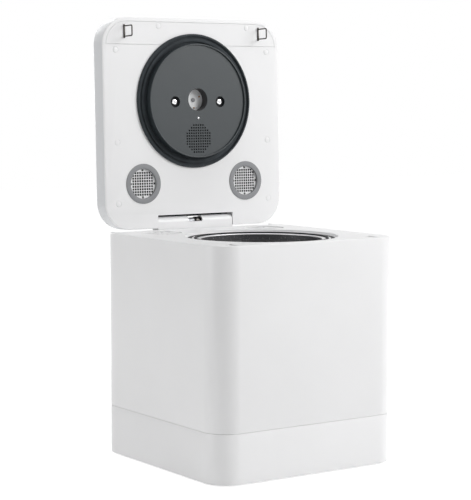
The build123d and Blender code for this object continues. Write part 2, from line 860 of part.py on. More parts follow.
filter_wells.part.label = "filter_wells"
export_step(filter_wells.part, "parts/filter_wells.step")

filter_foot = well_foot + well_wall
filter_top = deck_z - 1.0


def make_filter(x):
    """Carbon canister: perforated cap over a cup, standing in a well."""
    with BuildPart() as canister:
        with BuildSketch(Plane(origin=(x, filter_y, filter_foot), z_dir=(0, 0, 1))):
            Circle(filter_radius)
        extrude(amount=filter_top - filter_foot)
        chamfer(canister.faces().sort_by(Axis.Z)[-1].edges(), 1)
        with BuildSketch(Plane(origin=(x, filter_y, filter_top - 2), z_dir=(0, 0, 1))):
            with PolarLocations(16, 12):
                Rectangle(11, 3)
            with PolarLocations(6, 6):
                Rectangle(3, 3)
        extrude(amount=2, mode=Mode.SUBTRACT)
        # slots through the foot
        with BuildSketch(Plane(origin=(x, filter_y, filter_foot), z_dir=(0, 0, 1))):
            with PolarLocations(16, 12):
                Rectangle(11, 3)
        extrude(amount=2, mode=Mode.SUBTRACT)
    return canister.part


filter_left = make_filter(-filter_x)
filter_left.label = "filter_left"
export_step(filter_left, "parts/filter_left.step")

filter_right = make_filter(filter_x)
filter_right.label = "filter_right"
export_step(filter_right, "parts/filter_right.step")


def duct_outline(shrink):
    """Duct outline under both wells, in the sketch being drawn."""
    with Locations((0, duct_y)):
        Rectangle(2 * filter_x - 2 * shrink, duct_depth - 2 * shrink)
    with Locations(*filter_places):
        Circle(well_outer + 1 - shrink)


with BuildPart() as air_duct:
    with BuildSketch(Plane.XY.offset(duct_z)):
        duct_outline(0)
        with Locations((0, (duct_y + duct_depth / 2 + fan_front - fit_gap) / 2)):
            Rectangle(fan_size, fan_front - fit_gap - duct_y - duct_depth / 2)
    extrude(amount=duct_height)
    with BuildSketch(Plane.XY.offset(duct_z + duct_wall)):
        duct_outline(duct_wall)
    extrude(amount=duct_height - 2 * duct_wall, mode=Mode.SUBTRACT)
    with BuildSketch(Plane.XY.offset(duct_z + duct_height - duct_wall)):
        with Locations(*filter_places):
            Circle(filter_radius - 4)
    extrude(amount=duct_wall, mode=Mode.SUBTRACT)
    with BuildSketch(Plane(origin=(0, duct_y, fan_z), x_dir=(1, 0, 0), z_dir=(0, 1, 0))):
        Circle(fan_throat - 1)
    extrude(amount=fan_front - duct_y, mode=Mode.SUBTRACT)

air_duct.part.label = "air_duct"
export_step(air_duct.part, "parts/air_duct.step")

fan_plane = Plane(origin=(0, fan_front, fan_z), x_dir=(1, 0, 0), z_dir=(0, 1, 0))

with BuildPart() as fan_frame:
    with BuildSketch(fan_plane):
        RectangleRounded(fan_size, fan_size, 4)
        Circle(fan_throat, mode=Mode.SUBTRACT)
        with GridLocations(fan_size - 10, fan_size - 10, 2, 2):
            Circle(2.1, mode=Mode.SUBTRACT)
    extrude(amount=fan_depth)
    with BuildSketch(fan_plane):
        Circle(fan_hub + 1)
        with PolarLocations(fan_throat / 2, 4, start_angle=45):
            Rectangle(fan_throat + 1, 3)
    extrude(amount=3)
    with BuildSketch(fan_plane.offset(3)):
        Circle(3)
    extrude(amount=7)

fan_frame.part.label = "fan_frame"
export_step(fan_frame.part, "parts/fan_frame.step")

with BuildPart() as fan_rotor:
    with BuildSketch(fan_plane.offset(4)):
        Circle(fan_hub)
    extrude(amount=fan_depth - 5)
    chamfer(fan_rotor.edges().group_by(Axis.Y)[-1], 1)
    with BuildSketch(fan_plane.offset(4)):
        Circle(3 + running_gap)
    extrude(amount=6.5, mode=Mode.SUBTRACT)
    # pitched blades
    for blade in range(fan_blades):
        turned = fan_plane * Rotation(0, 0, 360 / fan_blades * blade)
        with BuildSketch(turned * Pos(fan_hub - 1, 0, fan_depth / 2) * Rotation(0, 90, 0)):
            with BuildLine():
                ThreePointArc((-4.2, -5.5), (0, 0.8), (4.2, 5.5))
                ThreePointArc((4.2, 5.5), (0.6, -0.2), (-3.4, -6.2))
                Line((-3.4, -6.2), (-4.2, -5.5))
            make_face()
        extrude(amount=fan_throat - fan_hub)

fan_rotor.part.label = "fan_rotor"
export_step(fan_rotor.part, "parts/fan_rotor.step")

with BuildPart() as rear_grille:
    with BuildSketch(Plane(origin=(0, rear_y - housing_wall, fan_z), x_dir=(1, 0, 0), z_dir=(0, 1, 0))):
        RectangleRounded(grille_size - 2 * fit_gap, grille_size - 2 * fit_gap, 5)
    extrude(amount=housing_wall)
    with BuildSketch(Plane(origin=(0, fan_back + 0.1, fan_z), x_dir=(1, 0, 0), z_dir=(0, 1, 0))):
        RectangleRounded(grille_size + 6, grille_size + 6, 5)
    extrude(amount=rear_y - housing_wall - fan_back - 0.1)
    with BuildSketch(Plane(origin=(0, fan_back, fan_z), x_dir=(1, 0, 0), z_dir=(0, 1, 0))):
        with GridLocations(1, slat_pitch, 1, 9):
            Rectangle(54, slat_gap)
    extrude(amount=rear_y - fan_back, mode=Mode.SUBTRACT)

rear_grille.part.label = "rear_grille"
export_step(rear_grille.part, "parts/rear_grille.step")

# ======================================================================
# Electrics in the base: main board and power inlet
# ======================================================================

board_x = -48
board_y = -52
board_z = base_z + floor_wall + 8
board_width = 120
board_depth = 84

with BuildPart() as main_board:
    with BuildSketch(Plane(origin=(board_x, board_y, board_z), z_dir=(0, 0, 1))):
        RectangleRounded(board_width, board_depth, 3)
    extrude(amount=1.6)

main_board.part.label = "main_board"
export_step(main_board.part, "parts/main_board.step")

board_top = Plane(origin=(board_x, board_y, board_z + 1.6), z_dir=(0, 0, 1))
with BuildPart() as board_components:
    with BuildSketch(board_top):
        with Locations((-38, 18)):
            Rectangle(32, 28)
    extrude(amount=24)
    with BuildSketch(board_top):
        with Locations((-2, 22), (18, 22)):
            Circle(8)
    extrude(amount=26)
    with BuildSketch(board_top):
        with Locations((-42, -20), (-20, -20), (2, -20)):
            Rectangle(16, 20)
    extrude(amount=15)
    with BuildSketch(board_top):
        with Locations((44, 20), (44, -4), (44, -28)):
            Rectangle(14, 16)
    extrude(amount=9)
    with BuildSketch(board_top):
        with Locations((22, -14)):
            Rectangle(14, 14)
    extrude(amount=2)

board_components.part.label = "board_components"
export_step(board_components.part, "parts/board_components.step")

with BuildPart() as board_standoffs:
    with BuildSketch(Plane(origin=(board_x, board_y, base_z + floor_wall), z_dir=(0, 0, 1))):
        with GridLocations(board_width - 10, board_depth - 10, 2, 2):
            Circle(3)
    extrude(amount=board_z - base_z - floor_wall)

board_standoffs.part.label = "board_standoffs"
export_step(board_standoffs.part, "parts/board_standoffs.step")

inlet_depth = 22
inlet_plane = Plane(origin=(inlet_x, rear_y, inlet_z), x_dir=(1, 0, 0), z_dir=(0, -1, 0))
with BuildPart() as power_inlet:
    with BuildSketch(inlet_plane):
        Rectangle(inlet_width, inlet_height)
    extrude(amount=inlet_depth)
    with BuildSketch(inlet_plane.offset(-1.6)):
        RectangleRounded(inlet_flange, inlet_height + 3, 5)
    extrude(amount=1.6)
    # socket with cut lower corners
    with BuildSketch(inlet_plane.offset(-1.6)):
        Rectangle(24, 16.5)
    extrude(amount=17, mode=Mode.SUBTRACT)
    with BuildSketch(inlet_plane.offset(inlet_depth - 7)):
        with Locations((-7, -2), (0, 2), (7, -2)):
            Rectangle(2, 4)
    extrude(amount=-12)

power_inlet.part.label = "power_inlet"
export_step(power_inlet.part, "parts/power_inlet.step")

# ======================================================================
# Hinge: fixed barrel cover on the deck, pin, spring and its screws
# ======================================================================

trough_z = deck_z - trough_depth
pad_z = deck_z - deck_wall - pad_wall
hinge_section = Plane(origin=(0, hinge_y, hinge_z), x_dir=(0, 1, 0), z_dir=(1, 0, 0))
cover_drop = hinge_z - trough_z
hinge_screw_radius = 1.5
hinge_screw_grip = 4.4

with BuildPart() as hinge_cover:
    with BuildSketch(hinge_section):
        Circle(barrel_radius)
        with Locations((0, -cover_drop / 2)):
            Rectangle(2 * barrel_radius, cover_drop)
    extrude(amount=barrel_width / 2, both=True)
    with BuildSketch(hinge_section):
        Circle(barrel_radius - barrel_wall)
    extrude(amount=barrel_width / 2 - bearing_width, both=True, mode=Mode.SUBTRACT)
    with BuildSketch(hinge_section):
        Circle(pin_radius + running_gap)
    extrude(amount=barrel_width / 2, both=True, mode=Mode.SUBTRACT)
    # window in the middle, open at the top, where the spring shows
    with BuildSketch(hinge_section):
        with Locations((0, barrel_radius)):
            Rectangle(4 * barrel_radius, 2 * barrel_radius)
    extrude(amount=window_width / 2, both=True, mode=Mode.SUBTRACT)
    with BuildSketch(Plane.XY.offset(trough_z)):
        with Locations(*hinge_screw_places):
            Circle(hinge_screw_radius + thread_gap)
    extrude(amount=hinge_screw_grip + 0.4, mode=Mode.SUBTRACT)

hinge_cover.part.label = "hinge_cover"
export_step(hinge_cover.part, "parts/hinge_cover.step")

with BuildPart() as hinge_screws:
    with BuildSketch(Plane.XY.offset(pad_z - 2)):
        with Locations(*hinge_screw_places):
            Circle(3)
    extrude(amount=2)
    with BuildSketch(Plane.XY.offset(pad_z - 2)):
        with Locations(*hinge_screw_places):
            Circle(hinge_screw_radius)
    extrude(amount=trough_z + hinge_screw_grip - pad_z + 2)

hinge_screws.part.label = "hinge_screws"
export_step(hinge_screws.part, "parts/hinge_screws.step")

notch_half = barrel_width / 2 + notch_gap
block_start = notch_half + notch_wall + 0.2
pin_half = block_start + block_width - 2
collar_start = 1.5

with BuildPart() as hinge_pin:
    with BuildSketch(hinge_section):
        Circle(pin_radius)
    extrude(amount=pin_half, both=True)
    # collar that takes the spring's end
    with BuildSketch(hinge_section.offset(collar_start)):
        Circle(barrel_radius - barrel_wall - fit_gap)
    extrude(amount=collar_width)
    chamfer(hinge_pin.faces().sort_by(Axis.X)[0].edges(), 0.5)
    chamfer(hinge_pin.faces().sort_by(Axis.X)[-1].edges(), 0.5)

hinge_pin.part.label = "hinge_pin"
export_step(hinge_pin.part, "parts/hinge_pin.step")

coil_radius = pin_radius + spring_wire / 2 + 0.5
coil_pitch = spring_wire + 0.15
coil_start = collar_start - 1.2 * spring_wire - coil_pitch * spring_turns

with BuildPart() as hinge_spring:
    with BuildLine() as coil:
        Helix(
            coil_pitch,
            coil_pitch * spring_turns,
            coil_radius,
            center=(coil_start, hinge_y, hinge_z),
            direction=(1, 0, 0),
        )
    with BuildSketch(Plane(origin=coil.line @ 0, z_dir=coil.line % 0)):
        RegularPolygon(spring_wire / 2, wire_sides)
    sweep(path=coil.line, is_frenet=True)

hinge_spring.part.label = "hinge_spring"
export_step(hinge_spring.part, "parts/hinge_spring.step")

# ======================================================================
# Lid: outer shell, inner panel, cover strip, hinge blocks
# ======================================================================

shell_back = lid_face.offset(-lid_thickness)
shell_floor = lid_face.offset(lid_wall - lid_thickness)
panel_back = lid_face.offset(-panel_wall)
box_depth = lid_thickness - lid_wall - panel_wall
lid_middle = (0, lid_depth / 2)
lid_inner_corner = lid_corner - lid_wall
cap_x = lid_width / 2 - cap_inset
cap_rows = (36, 120, lid_depth - 44)
cap_places = [(x, s) for x in (-cap_x, cap_x) for s in cap_rows]
strip_cap_places = [(-56, lid_depth - 10.8), (91.5, lid_depth - 10.8)]
disc_screw_places = [(-disc_screw_x, disc_s - 1.3), (disc_screw_x, disc_s - 1.3)]
port_places = [(-port_x, port_s), (port_x, port_s)]
mesh_place = (0, disc_s - disc_mesh_drop)
lamp_place = (0, disc_s + 1.5)
disc_hole = disc_edge + 2.5
post_wall = 4.2
cap_wall = 0.8

with BuildPart() as lid_outer_shell:
    with BuildSketch(shell_back):
        with Locations(lid_middle):
            RectangleRounded(lid_width, lid_depth, lid_corner)
    extrude(amount=lid_thickness - panel_wall - 0.2)
    fillet(lid_outer_shell.faces().sort_by(Axis((0, 0, 0), lid_out))[0].edges(), lid_edge)
    with BuildSketch(shell_floor):
        with Locations(lid_middle):
            RectangleRounded(lid_width - 2 * lid_wall, lid_depth - 2 * lid_wall, lid_inner_corner)
    extrude(amount=lid_thickness, mode=Mode.SUBTRACT)
    # walls round the hinge notch
    with BuildSketch(shell_floor):
        with Locations((0, (notch_depth + notch_wall) / 2)):
            Rectangle(2 * (notch_half + notch_wall), notch_depth + notch_wall)
    extrude(amount=box_depth)
    with BuildSketch(shell_floor):
        with Locations((0, notch_depth / 2 - 1)):
            Rectangle(2 * notch_half, notch_depth + 2)
    extrude(amount=lid_thickness, mode=Mode.SUBTRACT)
    with BuildSketch(hinge_section):
        Circle(pin_radius + 0.4)
    extrude(amount=notch_half + 2 * notch_wall, both=True, mode=Mode.SUBTRACT)
    # screw posts under the caps and under the disc
    with BuildSketch(shell_floor):
        with Locations(*cap_places, *strip_cap_places, *disc_screw_places):
            Circle(post_wall)
    extrude(amount=box_depth)
    with BuildSketch(shell_floor.offset(4)):
        with Locations(*disc_screw_places):
            Circle(2 + thread_gap)
    extrude(amount=box_depth, mode=Mode.SUBTRACT)
    # recess for the touch window
    with BuildSketch(shell_back):
        with Locations((0, window_s)):
            RectangleRounded(window_long, window_short, 8)
    extrude(amount=window_wall, mode=Mode.SUBTRACT)

lid_outer_shell.part.label = "lid_outer_shell"
export_step(lid_outer_shell.part, "parts/lid_outer_shell.step")


def strip_outline(shrink):
    """Outline of the front cover strip, in the sketch being drawn."""
    inset = strip_inset + shrink
    with Locations(lid_middle):
        RectangleRounded(lid_width - 2 * inset, lid_depth - 2 * inset, lid_corner - inset)
    with Locations((0, (strip_start + shrink) / 2)):
        Rectangle(2 * lid_width, strip_start + shrink, mode=Mode.SUBTRACT)
    with Locations((0, disc_s)):
        Circle(disc_hole, mode=Mode.SUBTRACT)


with BuildPart() as lid_inner_panel:
    with BuildSketch(panel_back):
        with Locations(lid_middle):
            RectangleRounded(lid_width, lid_depth, lid_corner)
    extrude(amount=panel_wall)
    fillet(lid_inner_panel.faces().sort_by(Axis((0, 0, 0), lid_out))[-1].edges(), 0.8)
    with BuildSketch(panel_back):
        with Locations((0, disc_s)):
            Circle(disc_hole)
        with Locations(*port_places):
            Circle(ring_inner_radius + 3.5)
        with Locations((0, notch_depth / 2 - 1)):
            Rectangle(2 * notch_half, notch_depth + 2)
    extrude(amount=panel_wall, mode=Mode.SUBTRACT)
    with BuildSketch(panel_back.offset(panel_wall / 2)):
        strip_outline(0)
    extrude(amount=panel_wall, mode=Mode.SUBTRACT)
    with BuildSketch(panel_back):
        strip_outline(4)
    extrude(amount=panel_wall, mode=Mode.SUBTRACT)
    with BuildSketch(lid_face.offset(-cap_wall)):
        with Locations(*cap_places):
            Circle(cap_radius + 0.1)
    extrude(amount=cap_wall, mode=Mode.SUBTRACT)

lid_inner_panel.part.label = "lid_inner_panel"
export_step(lid_inner_panel.part, "parts/lid_inner_panel.step")

with BuildPart() as lid_cover_strip:
    with BuildSketch(panel_back.offset(panel_wall / 2)):
        strip_outline(strip_gap)
    extrude(amount=panel_wall / 2)
    with BuildSketch(lid_face.offset(-cap_wall)):
        with Locations(*strip_cap_places):
            Circle(cap_radius + 0.1)
    extrude(amount=cap_wall, mode=Mode.SUBTRACT)

lid_cover_strip.part.label = "lid_cover_strip"
export_step(lid_cover_strip.part, "parts/lid_cover_strip.step")

with BuildPart() as lid_screw_caps:
    with BuildSketch(lid_face.offset(-cap_wall)):
        with Locations(*cap_places, *strip_cap_places):
            Circle(cap_radius)
    extrude(amount=cap_wall + 0.15)

lid_screw_caps.part.label = "lid_screw_caps"
export_step(lid_screw_caps.part, "parts/lid_screw_caps.step")

lid_hinge_section = Plane(origin=(0, hinge_y, hinge_z), x_dir=lid_up, z_dir=(1, 0, 0))
block_low = lid_wall + 0.2 - hinge_inset
block_back = hinge_drop + lid_wall - lid_thickness
block_front = hinge_drop - panel_wall - 0.2

with BuildPart() as lid_hinge_blocks:
    with BuildSketch(lid_hinge_section.offset(block_start)):
        with Locations((block_low + block_size / 2, (block_back + block_front) / 2)):
            RectangleRounded(block_size, block_front - block_back, 1.5)
        Circle(pin_radius + 0.02, mode=Mode.SUBTRACT)
    extrude(amount=block_width)
    mirror(about=Plane.YZ)

lid_hinge_blocks.part.label = "lid_hinge_blocks"
export_step(lid_hinge_blocks.part, "parts/lid_hinge_blocks.step")

# ======================================================================
# Latch loops: bent wire on small foot bars
# ======================================================================

with BuildPart() as latch_loops:
    for x in (-latch_x, latch_x):
        loop_plane = Plane(origin=lid_face.from_local_coords((x, latch_s, 0)), x_dir=lid_up, z_dir=(1, 0, 0))
        half = latch_span / 2
        reach = latch_reach - latch_wire
        with BuildLine(loop_plane) as wire:
            FilletPolyline((-half, 0.2), (-half, reach), (half, reach), (half, 0.2), radius=2.2)
        with BuildSketch(Plane(origin=wire.line @ 0, z_dir=wire.line % 0)):
            RegularPolygon(latch_wire, 8)
        sweep(path=wire.line)
        with BuildSketch(lid_face):
            with Locations((x, latch_s)):
                RectangleRounded(latch_foot_width, latch_span + 5, 1)
        extrude(amount=1.6)

latch_loops.part.label = "latch_loops"
export_step(latch_loops.part, "parts/latch_loops.step")

# ======================================================================
# Disc over the chamber: face, seal, screws, lamp board, sensor
# ======================================================================

disc_face_height = disc_lip - disc_sink
counterbore_depth = 6.5
disc_back = lid_face.offset(-panel_wall)

with BuildPart() as lid_disc:
    with BuildSketch(disc_back):
        with Locations((0, disc_s)):
            Circle(disc_edge)
    extrude(amount=panel_wall + disc_lip)
    chamfer(lid_disc.faces().sort_by(Axis((0, 0, 0), lid_out))[-1].edges(), 0.6)
    with BuildSketch(lid_face.offset(disc_face_height)):
        with Locations((0, disc_s)):
            Circle(disc_edge - 1.6)
    extrude(amount=2 * disc_sink, mode=Mode.SUBTRACT)
    with BuildSketch(disc_back):
        with Locations((0, disc_s)):
            Circle(disc_edge - disc_wall)
        with Locations(lamp_place):
            Circle(lamp_hole + lamp_well_wall, mode=Mode.SUBTRACT)
        with Locations(*disc_screw_places):
            Circle(counterbore_radius + 2, mode=Mode.SUBTRACT)
    extrude(amount=panel_wall + disc_face_height - disc_wall, mode=Mode.SUBTRACT)
    # bracing ribs behind the face
    with BuildSketch(disc_back.offset(2)):
        with Locations((0, disc_s)):
            with PolarLocations((disc_edge + 24) / 2, 6):
                Rectangle(disc_edge - 26, 1.8)
    extrude(amount=panel_wall + disc_face_height - disc_wall - 2)
    with BuildSketch(disc_back):
        with Locations(lamp_place):
            Circle(lamp_hole)
        with Locations(*disc_screw_places):
            Circle(2.3)
        with Locations((0, disc_s - 24)):
            Circle(1.6)
    extrude(amount=panel_wall + disc_lip, mode=Mode.SUBTRACT)
    with BuildSketch(lid_face.offset(disc_face_height - counterbore_depth)):
        with Locations(*disc_screw_places):
            Circle(counterbore_radius)
    extrude(amount=counterbore_depth, mode=Mode.SUBTRACT)
    with BuildSketch(disc_back):
        with Locations(mesh_place):
            square_mesh(disc_mesh_radius, mesh_pitch, mesh_hole, 11)
    extrude(amount=panel_wall + disc_lip, mode=Mode.SUBTRACT)

lid_disc.part.label = "lid_disc"
export_step(lid_disc.part, "parts/lid_disc.step")

seal_ridge_outer = gasket_inner - 0.5
seal_flange_inner = gasket_outer + 0.4
with BuildPart() as disc_seal:
    with BuildSketch(disc_section):
        with BuildLine():
            Polyline(
                (disc_edge + 0.1, 0),
                (seal_outer, 0),
                (seal_outer, seal_height - 1.2),
                (seal_outer - 1.2, seal_height),
                (seal_flange_inner, seal_height),
                (seal_flange_inner, 1.0),
                (seal_ridge_outer, 1.0),
                (seal_ridge_outer, 2.6),
                (seal_ridge_outer - 0.8, 3.0),
                (disc_edge + 3.4, 3.0),
                (disc_edge + 3.4, 1.0),
                (disc_edge + 0.1, 1.0),
                close=True,
            )
        make_face()
    revolve(axis=disc_axis)

disc_seal.part.label = "disc_seal"
export_step(disc_seal.part, "parts/disc_seal.step")

screw_seat = disc_face_height - counterbore_depth
with BuildPart() as disc_screws:
    with BuildSketch(lid_face.offset(screw_seat)):
        with Locations(*disc_screw_places):
            Circle(pan_head)
    extrude(amount=2.6)
    chamfer(disc_screws.faces().sort_by(Axis((0, 0, 0), lid_out))[-2:].edges(), 0.9)
    with BuildSketch(lid_face.offset(screw_seat + 1.2)):
        with Locations(*disc_screw_places):
            Rectangle(4.6, 1)
            Rectangle(1, 4.6)
    extrude(amount=2, mode=Mode.SUBTRACT)
    with BuildSketch(lid_face.offset(screw_seat)):
        with Locations(*disc_screw_places):
            Circle(2)
    extrude(amount=-(screw_seat + panel_wall + 10))

disc_screws.part.label = "disc_screws"
export_step(disc_screws.part, "parts/disc_screws.step")

with BuildPart() as lamp_board:
    with BuildSketch(disc_back.offset(-1.6)):
        with Locations(lamp_place):
            Circle(lamp_hole + lamp_well_wall)
    extrude(amount=1.6)
    with BuildSketch(disc_back):
        with Locations(lamp_place):
            with Locations((-3, 0)):
                Rectangle(5, 5)
            with Locations((7, 6), (-4, -9)):
                Rectangle(2.6, 2)
            with Locations((6, -3)):
                Rectangle(2, 3)
    extrude(amount=1.4)

lamp_board.part.label = "lamp_board"
export_step(lamp_board.part, "parts/lamp_board.step")

with BuildPart() as steam_sensor:
    with BuildSketch(lid_face.offset(disc_face_height - disc_wall - 3)):
        with Locations((0, disc_s - 24)):
            Circle(3)
    extrude(amount=3)
    with BuildSketch(lid_face.offset(disc_face_height - disc_wall)):
        with Locations((0, disc_s - 24)):
            Circle(1.5)
    extrude(amount=disc_wall + 1.6)
    chamfer(steam_sensor.faces().sort_by(Axis((0, 0, 0), lid_out))[-1].edges(), 0.6)

steam_sensor.part.label = "steam_sensor"
export_step(steam_sensor.part, "parts/steam_sensor.step")

# ======================================================================
# Filter port rings and meshes, duct, touch window and control board
# ======================================================================

spigot_depth = 4.0
with BuildPart() as port_rings:
    with BuildSketch(lid_face):
        with Locations(*port_places):
            ring(ring_outer_radius, ring_inner_radius)
    extrude(amount=ring_proud)
    with BuildSketch(lid_face.offset(-spigot_depth)):
        with Locations(*port_places):
            ring(ring_inner_radius + 3.2, ring_inner_radius)
    extrude(amount=spigot_depth)

port_rings.part.label = "port_rings"
export_step(port_rings.part, "parts/port_rings.step")

with BuildPart() as port_meshes:
    with BuildSketch(lid_face.offset(-mesh_sink - mesh_wall)):
        for place in port_places:
            with Locations(place):
                Circle(ring_inner_radius - 0.05)
    extrude(amount=mesh_wall)
    for place in port_places:
        with BuildSketch(lid_face.offset(-mesh_sink - mesh_wall)):
            with Locations(place):
                square_mesh(ring_inner_radius - 1.6, mesh_pitch, mesh_hole, 11)
        extrude(amount=mesh_wall, mode=Mode.SUBTRACT)

port_meshes.part.label = "port_meshes"
export_step(port_meshes.part, "parts/port_meshes.step")

duct_skin = 1.6
duct_top = lid_thickness - lid_wall - spigot_depth


def duct_arm(place, shrink):
    """One arm of the lid duct, from the disc's grille to a port, in the sketch being drawn."""
    with Locations(mesh_place):
        Circle(disc_mesh_radius + 3 - shrink)
    with Locations(place):
        Circle(ring_inner_radius + 4 - shrink)
    make_hull()


with BuildPart() as lid_duct:
    for place in port_places:
        with BuildSketch(shell_floor):
            duct_arm(place, 0)
        extrude(amount=duct_top)
    for place in port_places:
        with BuildSketch(shell_floor):
            duct_arm(place, duct_skin)
        extrude(amount=duct_top - duct_skin, mode=Mode.SUBTRACT)
    with BuildSketch(shell_floor):
        with Locations(*port_places):
            Circle(ring_inner_radius)
        with Locations(mesh_place):
            Circle(disc_mesh_radius + 1)
    extrude(amount=duct_top, mode=Mode.SUBTRACT)

lid_duct.part.label = "lid_duct"
export_step(lid_duct.part, "parts/lid_duct.step")

with BuildPart() as touch_window:
    with BuildSketch(shell_back):
        with Locations((0, window_s)):
            RectangleRounded(window_long - 0.4, window_short - 0.4, 7.8)
    extrude(amount=window_wall)

touch_window.part.label = "touch_window"
export_step(touch_window.part, "parts/touch_window.step")

with BuildPart() as control_board:
    with BuildSketch(shell_floor):
        with Locations((0, window_s)):
            RectangleRounded(window_long - 20, window_short - 8, 3)
    extrude(amount=1.6)
    with BuildSketch(shell_floor.offset(1.6)):
        with Locations((0, window_s)):
            with GridLocations(24, 1, 6, 1):
                Rectangle(8, 8)
    extrude(amount=1.8)

control_board.part.label = "control_board"
export_step(control_board.part, "parts/control_board.step")

# ======================================================================
# Lid lock: hooked bar in its guides, solenoid and return spring
# ======================================================================

bar_front = -body_depth / 2 + housing_wall + 5.5
bar_strip = 5.5
bar_top = bar_z + bar_wall
post_size = 4.0
hook_rest = latch_wire + 1.6
hook_z = deck_z - latch_reach + lid_gap + 4.2
hook_height = 6.0
hook_back = hook_rest + hook_length + post_size / 2
tab_places = [-latch_x - hook_back, latch_x - hook_back]
ear_x = 46.0
plunger_y = latch_y + 3
plunger_z = bar_z - 13
plunger_plane = Plane(origin=(0, plunger_y, plunger_z), x_dir=(0, 1, 0), z_dir=(1, 0, 0))

with BuildPart() as lock_bar:
    with BuildSketch(Plane.XY.offset(bar_z)):
        with Locations(((tab_places[0] + tab_places[1]) / 2, bar_front + bar_strip / 2)):
            Rectangle(tab_places[1] - tab_places[0], bar_strip)
        for x in tab_places:
            with Locations((x, (bar_front + latch_y + 3) / 2)):
                Rectangle(post_size + 4, latch_y + 3 - bar_front)
        with Locations((ear_x, (bar_front + plunger_y + 5) / 2)):
            Rectangle(6, plunger_y + 5 - bar_front)
    extrude(amount=bar_wall)
    # hooks: posts with a nose, chamfered for the loops
    for x in tab_places:
        with BuildSketch(Plane(origin=(x, latch_y - 3, bar_top), x_dir=(1, 0, 0), z_dir=(0, 1, 0))):
            with BuildLine():
                Polyline(
                    (-post_size / 2, 0),
                    (post_size / 2, 0),
                    (post_size / 2, bar_top - hook_z),
                    (post_size / 2 + hook_length, bar_top - hook_z),
                    (post_size / 2 + hook_length, bar_top - hook_z - 2),
                    (post_size / 2 + 1, bar_top - hook_z - hook_height),
                    (-post_size / 2, bar_top - hook_z - hook_height),
                    close=True,
                )
            make_face()
        extrude(amount=6)
    # ear that carries the plunger
    with BuildSketch(Plane.XY.offset(plunger_z - 5)):
        with Locations((ear_x, plunger_y)):
            Rectangle(2, 10)
    extrude(amount=bar_z - plunger_z + 5)
    with BuildSketch(plunger_plane.offset(ear_x + 1)):
        Circle(plunger_radius)
    extrude(amount=34)

lock_bar.part.label = "lock_bar"
export_step(lock_bar.part, "parts/lock_bar.step")

solenoid_x = ear_x + 17
solenoid_length = 32.0
with BuildPart() as lock_solenoid:
    with BuildSketch(plunger_plane.offset(solenoid_x)):
        RectangleRounded(16, 16, 2)
    extrude(amount=solenoid_length)
    # bracket that hangs the solenoid from the deck
    with BuildSketch(Plane.XY.offset(plunger_z - 8)):
        with Locations((solenoid_x + solenoid_length + 1, plunger_y)):
            Rectangle(2, 16)
    extrude(amount=deck_z - deck_wall - plunger_z + 8)
    with BuildSketch(plunger_plane.offset(solenoid_x)):
        Circle(plunger_radius + running_gap)
    extrude(amount=solenoid_length - 4, mode=Mode.SUBTRACT)

lock_solenoid.part.label = "lock_solenoid"
export_step(lock_solenoid.part, "parts/lock_solenoid.step")

lock_coil_radius = plunger_radius + 1.4
lock_coil_turns = 5
lock_wire = 1.0
lock_coil_room = solenoid_x - ear_x - 1 - 2.2
with BuildPart() as lock_spring:
    with BuildLine() as lock_coil:
        Helix(
            lock_coil_room / lock_coil_turns,
            lock_coil_room,
            lock_coil_radius,
            center=(ear_x + 2.1, plunger_y, plunger_z),
            direction=(1, 0, 0),
        )
    with BuildSketch(Plane(origin=lock_coil.line @ 0, z_dir=lock_coil.line % 0)):
        RegularPolygon(lock_wire / 2, wire_sides)
    sweep(path=lock_coil.line, is_frenet=True)

lock_spring.part.label = "lock_spring"
export_step(lock_spring.part, "parts/lock_spring.step")

guide_left = 41 - latch_x
guide_right = latch_x - 31
with BuildPart() as lock_guides:
    with BuildSketch(Plane(origin=(0, 0, bar_z - 2.5), z_dir=(0, 0, 1))):
        with Locations((guide_left, bar_front + bar_strip / 2), (guide_right, bar_front + bar_strip / 2)):
            Rectangle(8, bar_strip + 4.6)
    extrude(amount=deck_z - deck_wall - bar_z + 2.5)
    with BuildSketch(Plane(origin=(0, 0, bar_z - running_gap), z_dir=(0, 0, 1))):
        with Locations((0, bar_front + bar_strip / 2)):
            Rectangle(300, bar_strip + 2 * running_gap)
    extrude(amount=bar_wall + 2 * running_gap, mode=Mode.SUBTRACT)

lock_guides.part.label = "lock_guides"
export_step(lock_guides.part, "parts/lock_guides.step")
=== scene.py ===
"""Electric food waste composter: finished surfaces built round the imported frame."""

import json
import logging
import math
from dataclasses import dataclass, field
from enum import Enum
from typing import Callable, Iterable, Sequence

import bmesh
import bpy
from mathutils import Matrix, Vector


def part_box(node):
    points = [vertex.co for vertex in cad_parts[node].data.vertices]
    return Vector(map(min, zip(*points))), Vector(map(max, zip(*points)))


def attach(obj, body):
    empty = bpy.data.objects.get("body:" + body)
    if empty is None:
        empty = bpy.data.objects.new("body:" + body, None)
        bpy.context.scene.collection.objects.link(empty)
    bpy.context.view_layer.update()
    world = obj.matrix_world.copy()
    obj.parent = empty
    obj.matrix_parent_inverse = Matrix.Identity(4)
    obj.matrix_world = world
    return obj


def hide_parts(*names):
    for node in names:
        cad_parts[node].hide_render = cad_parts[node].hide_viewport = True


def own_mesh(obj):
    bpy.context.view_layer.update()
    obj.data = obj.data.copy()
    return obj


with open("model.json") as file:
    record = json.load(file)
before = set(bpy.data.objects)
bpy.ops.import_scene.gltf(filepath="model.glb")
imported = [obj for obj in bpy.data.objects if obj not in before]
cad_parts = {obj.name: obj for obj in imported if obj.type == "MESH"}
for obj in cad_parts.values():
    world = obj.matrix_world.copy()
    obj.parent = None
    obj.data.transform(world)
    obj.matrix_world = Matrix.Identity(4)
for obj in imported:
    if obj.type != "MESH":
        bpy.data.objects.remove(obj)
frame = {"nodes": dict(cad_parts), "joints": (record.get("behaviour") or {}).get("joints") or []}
log = logging.getLogger("composter")

MM = 0.001
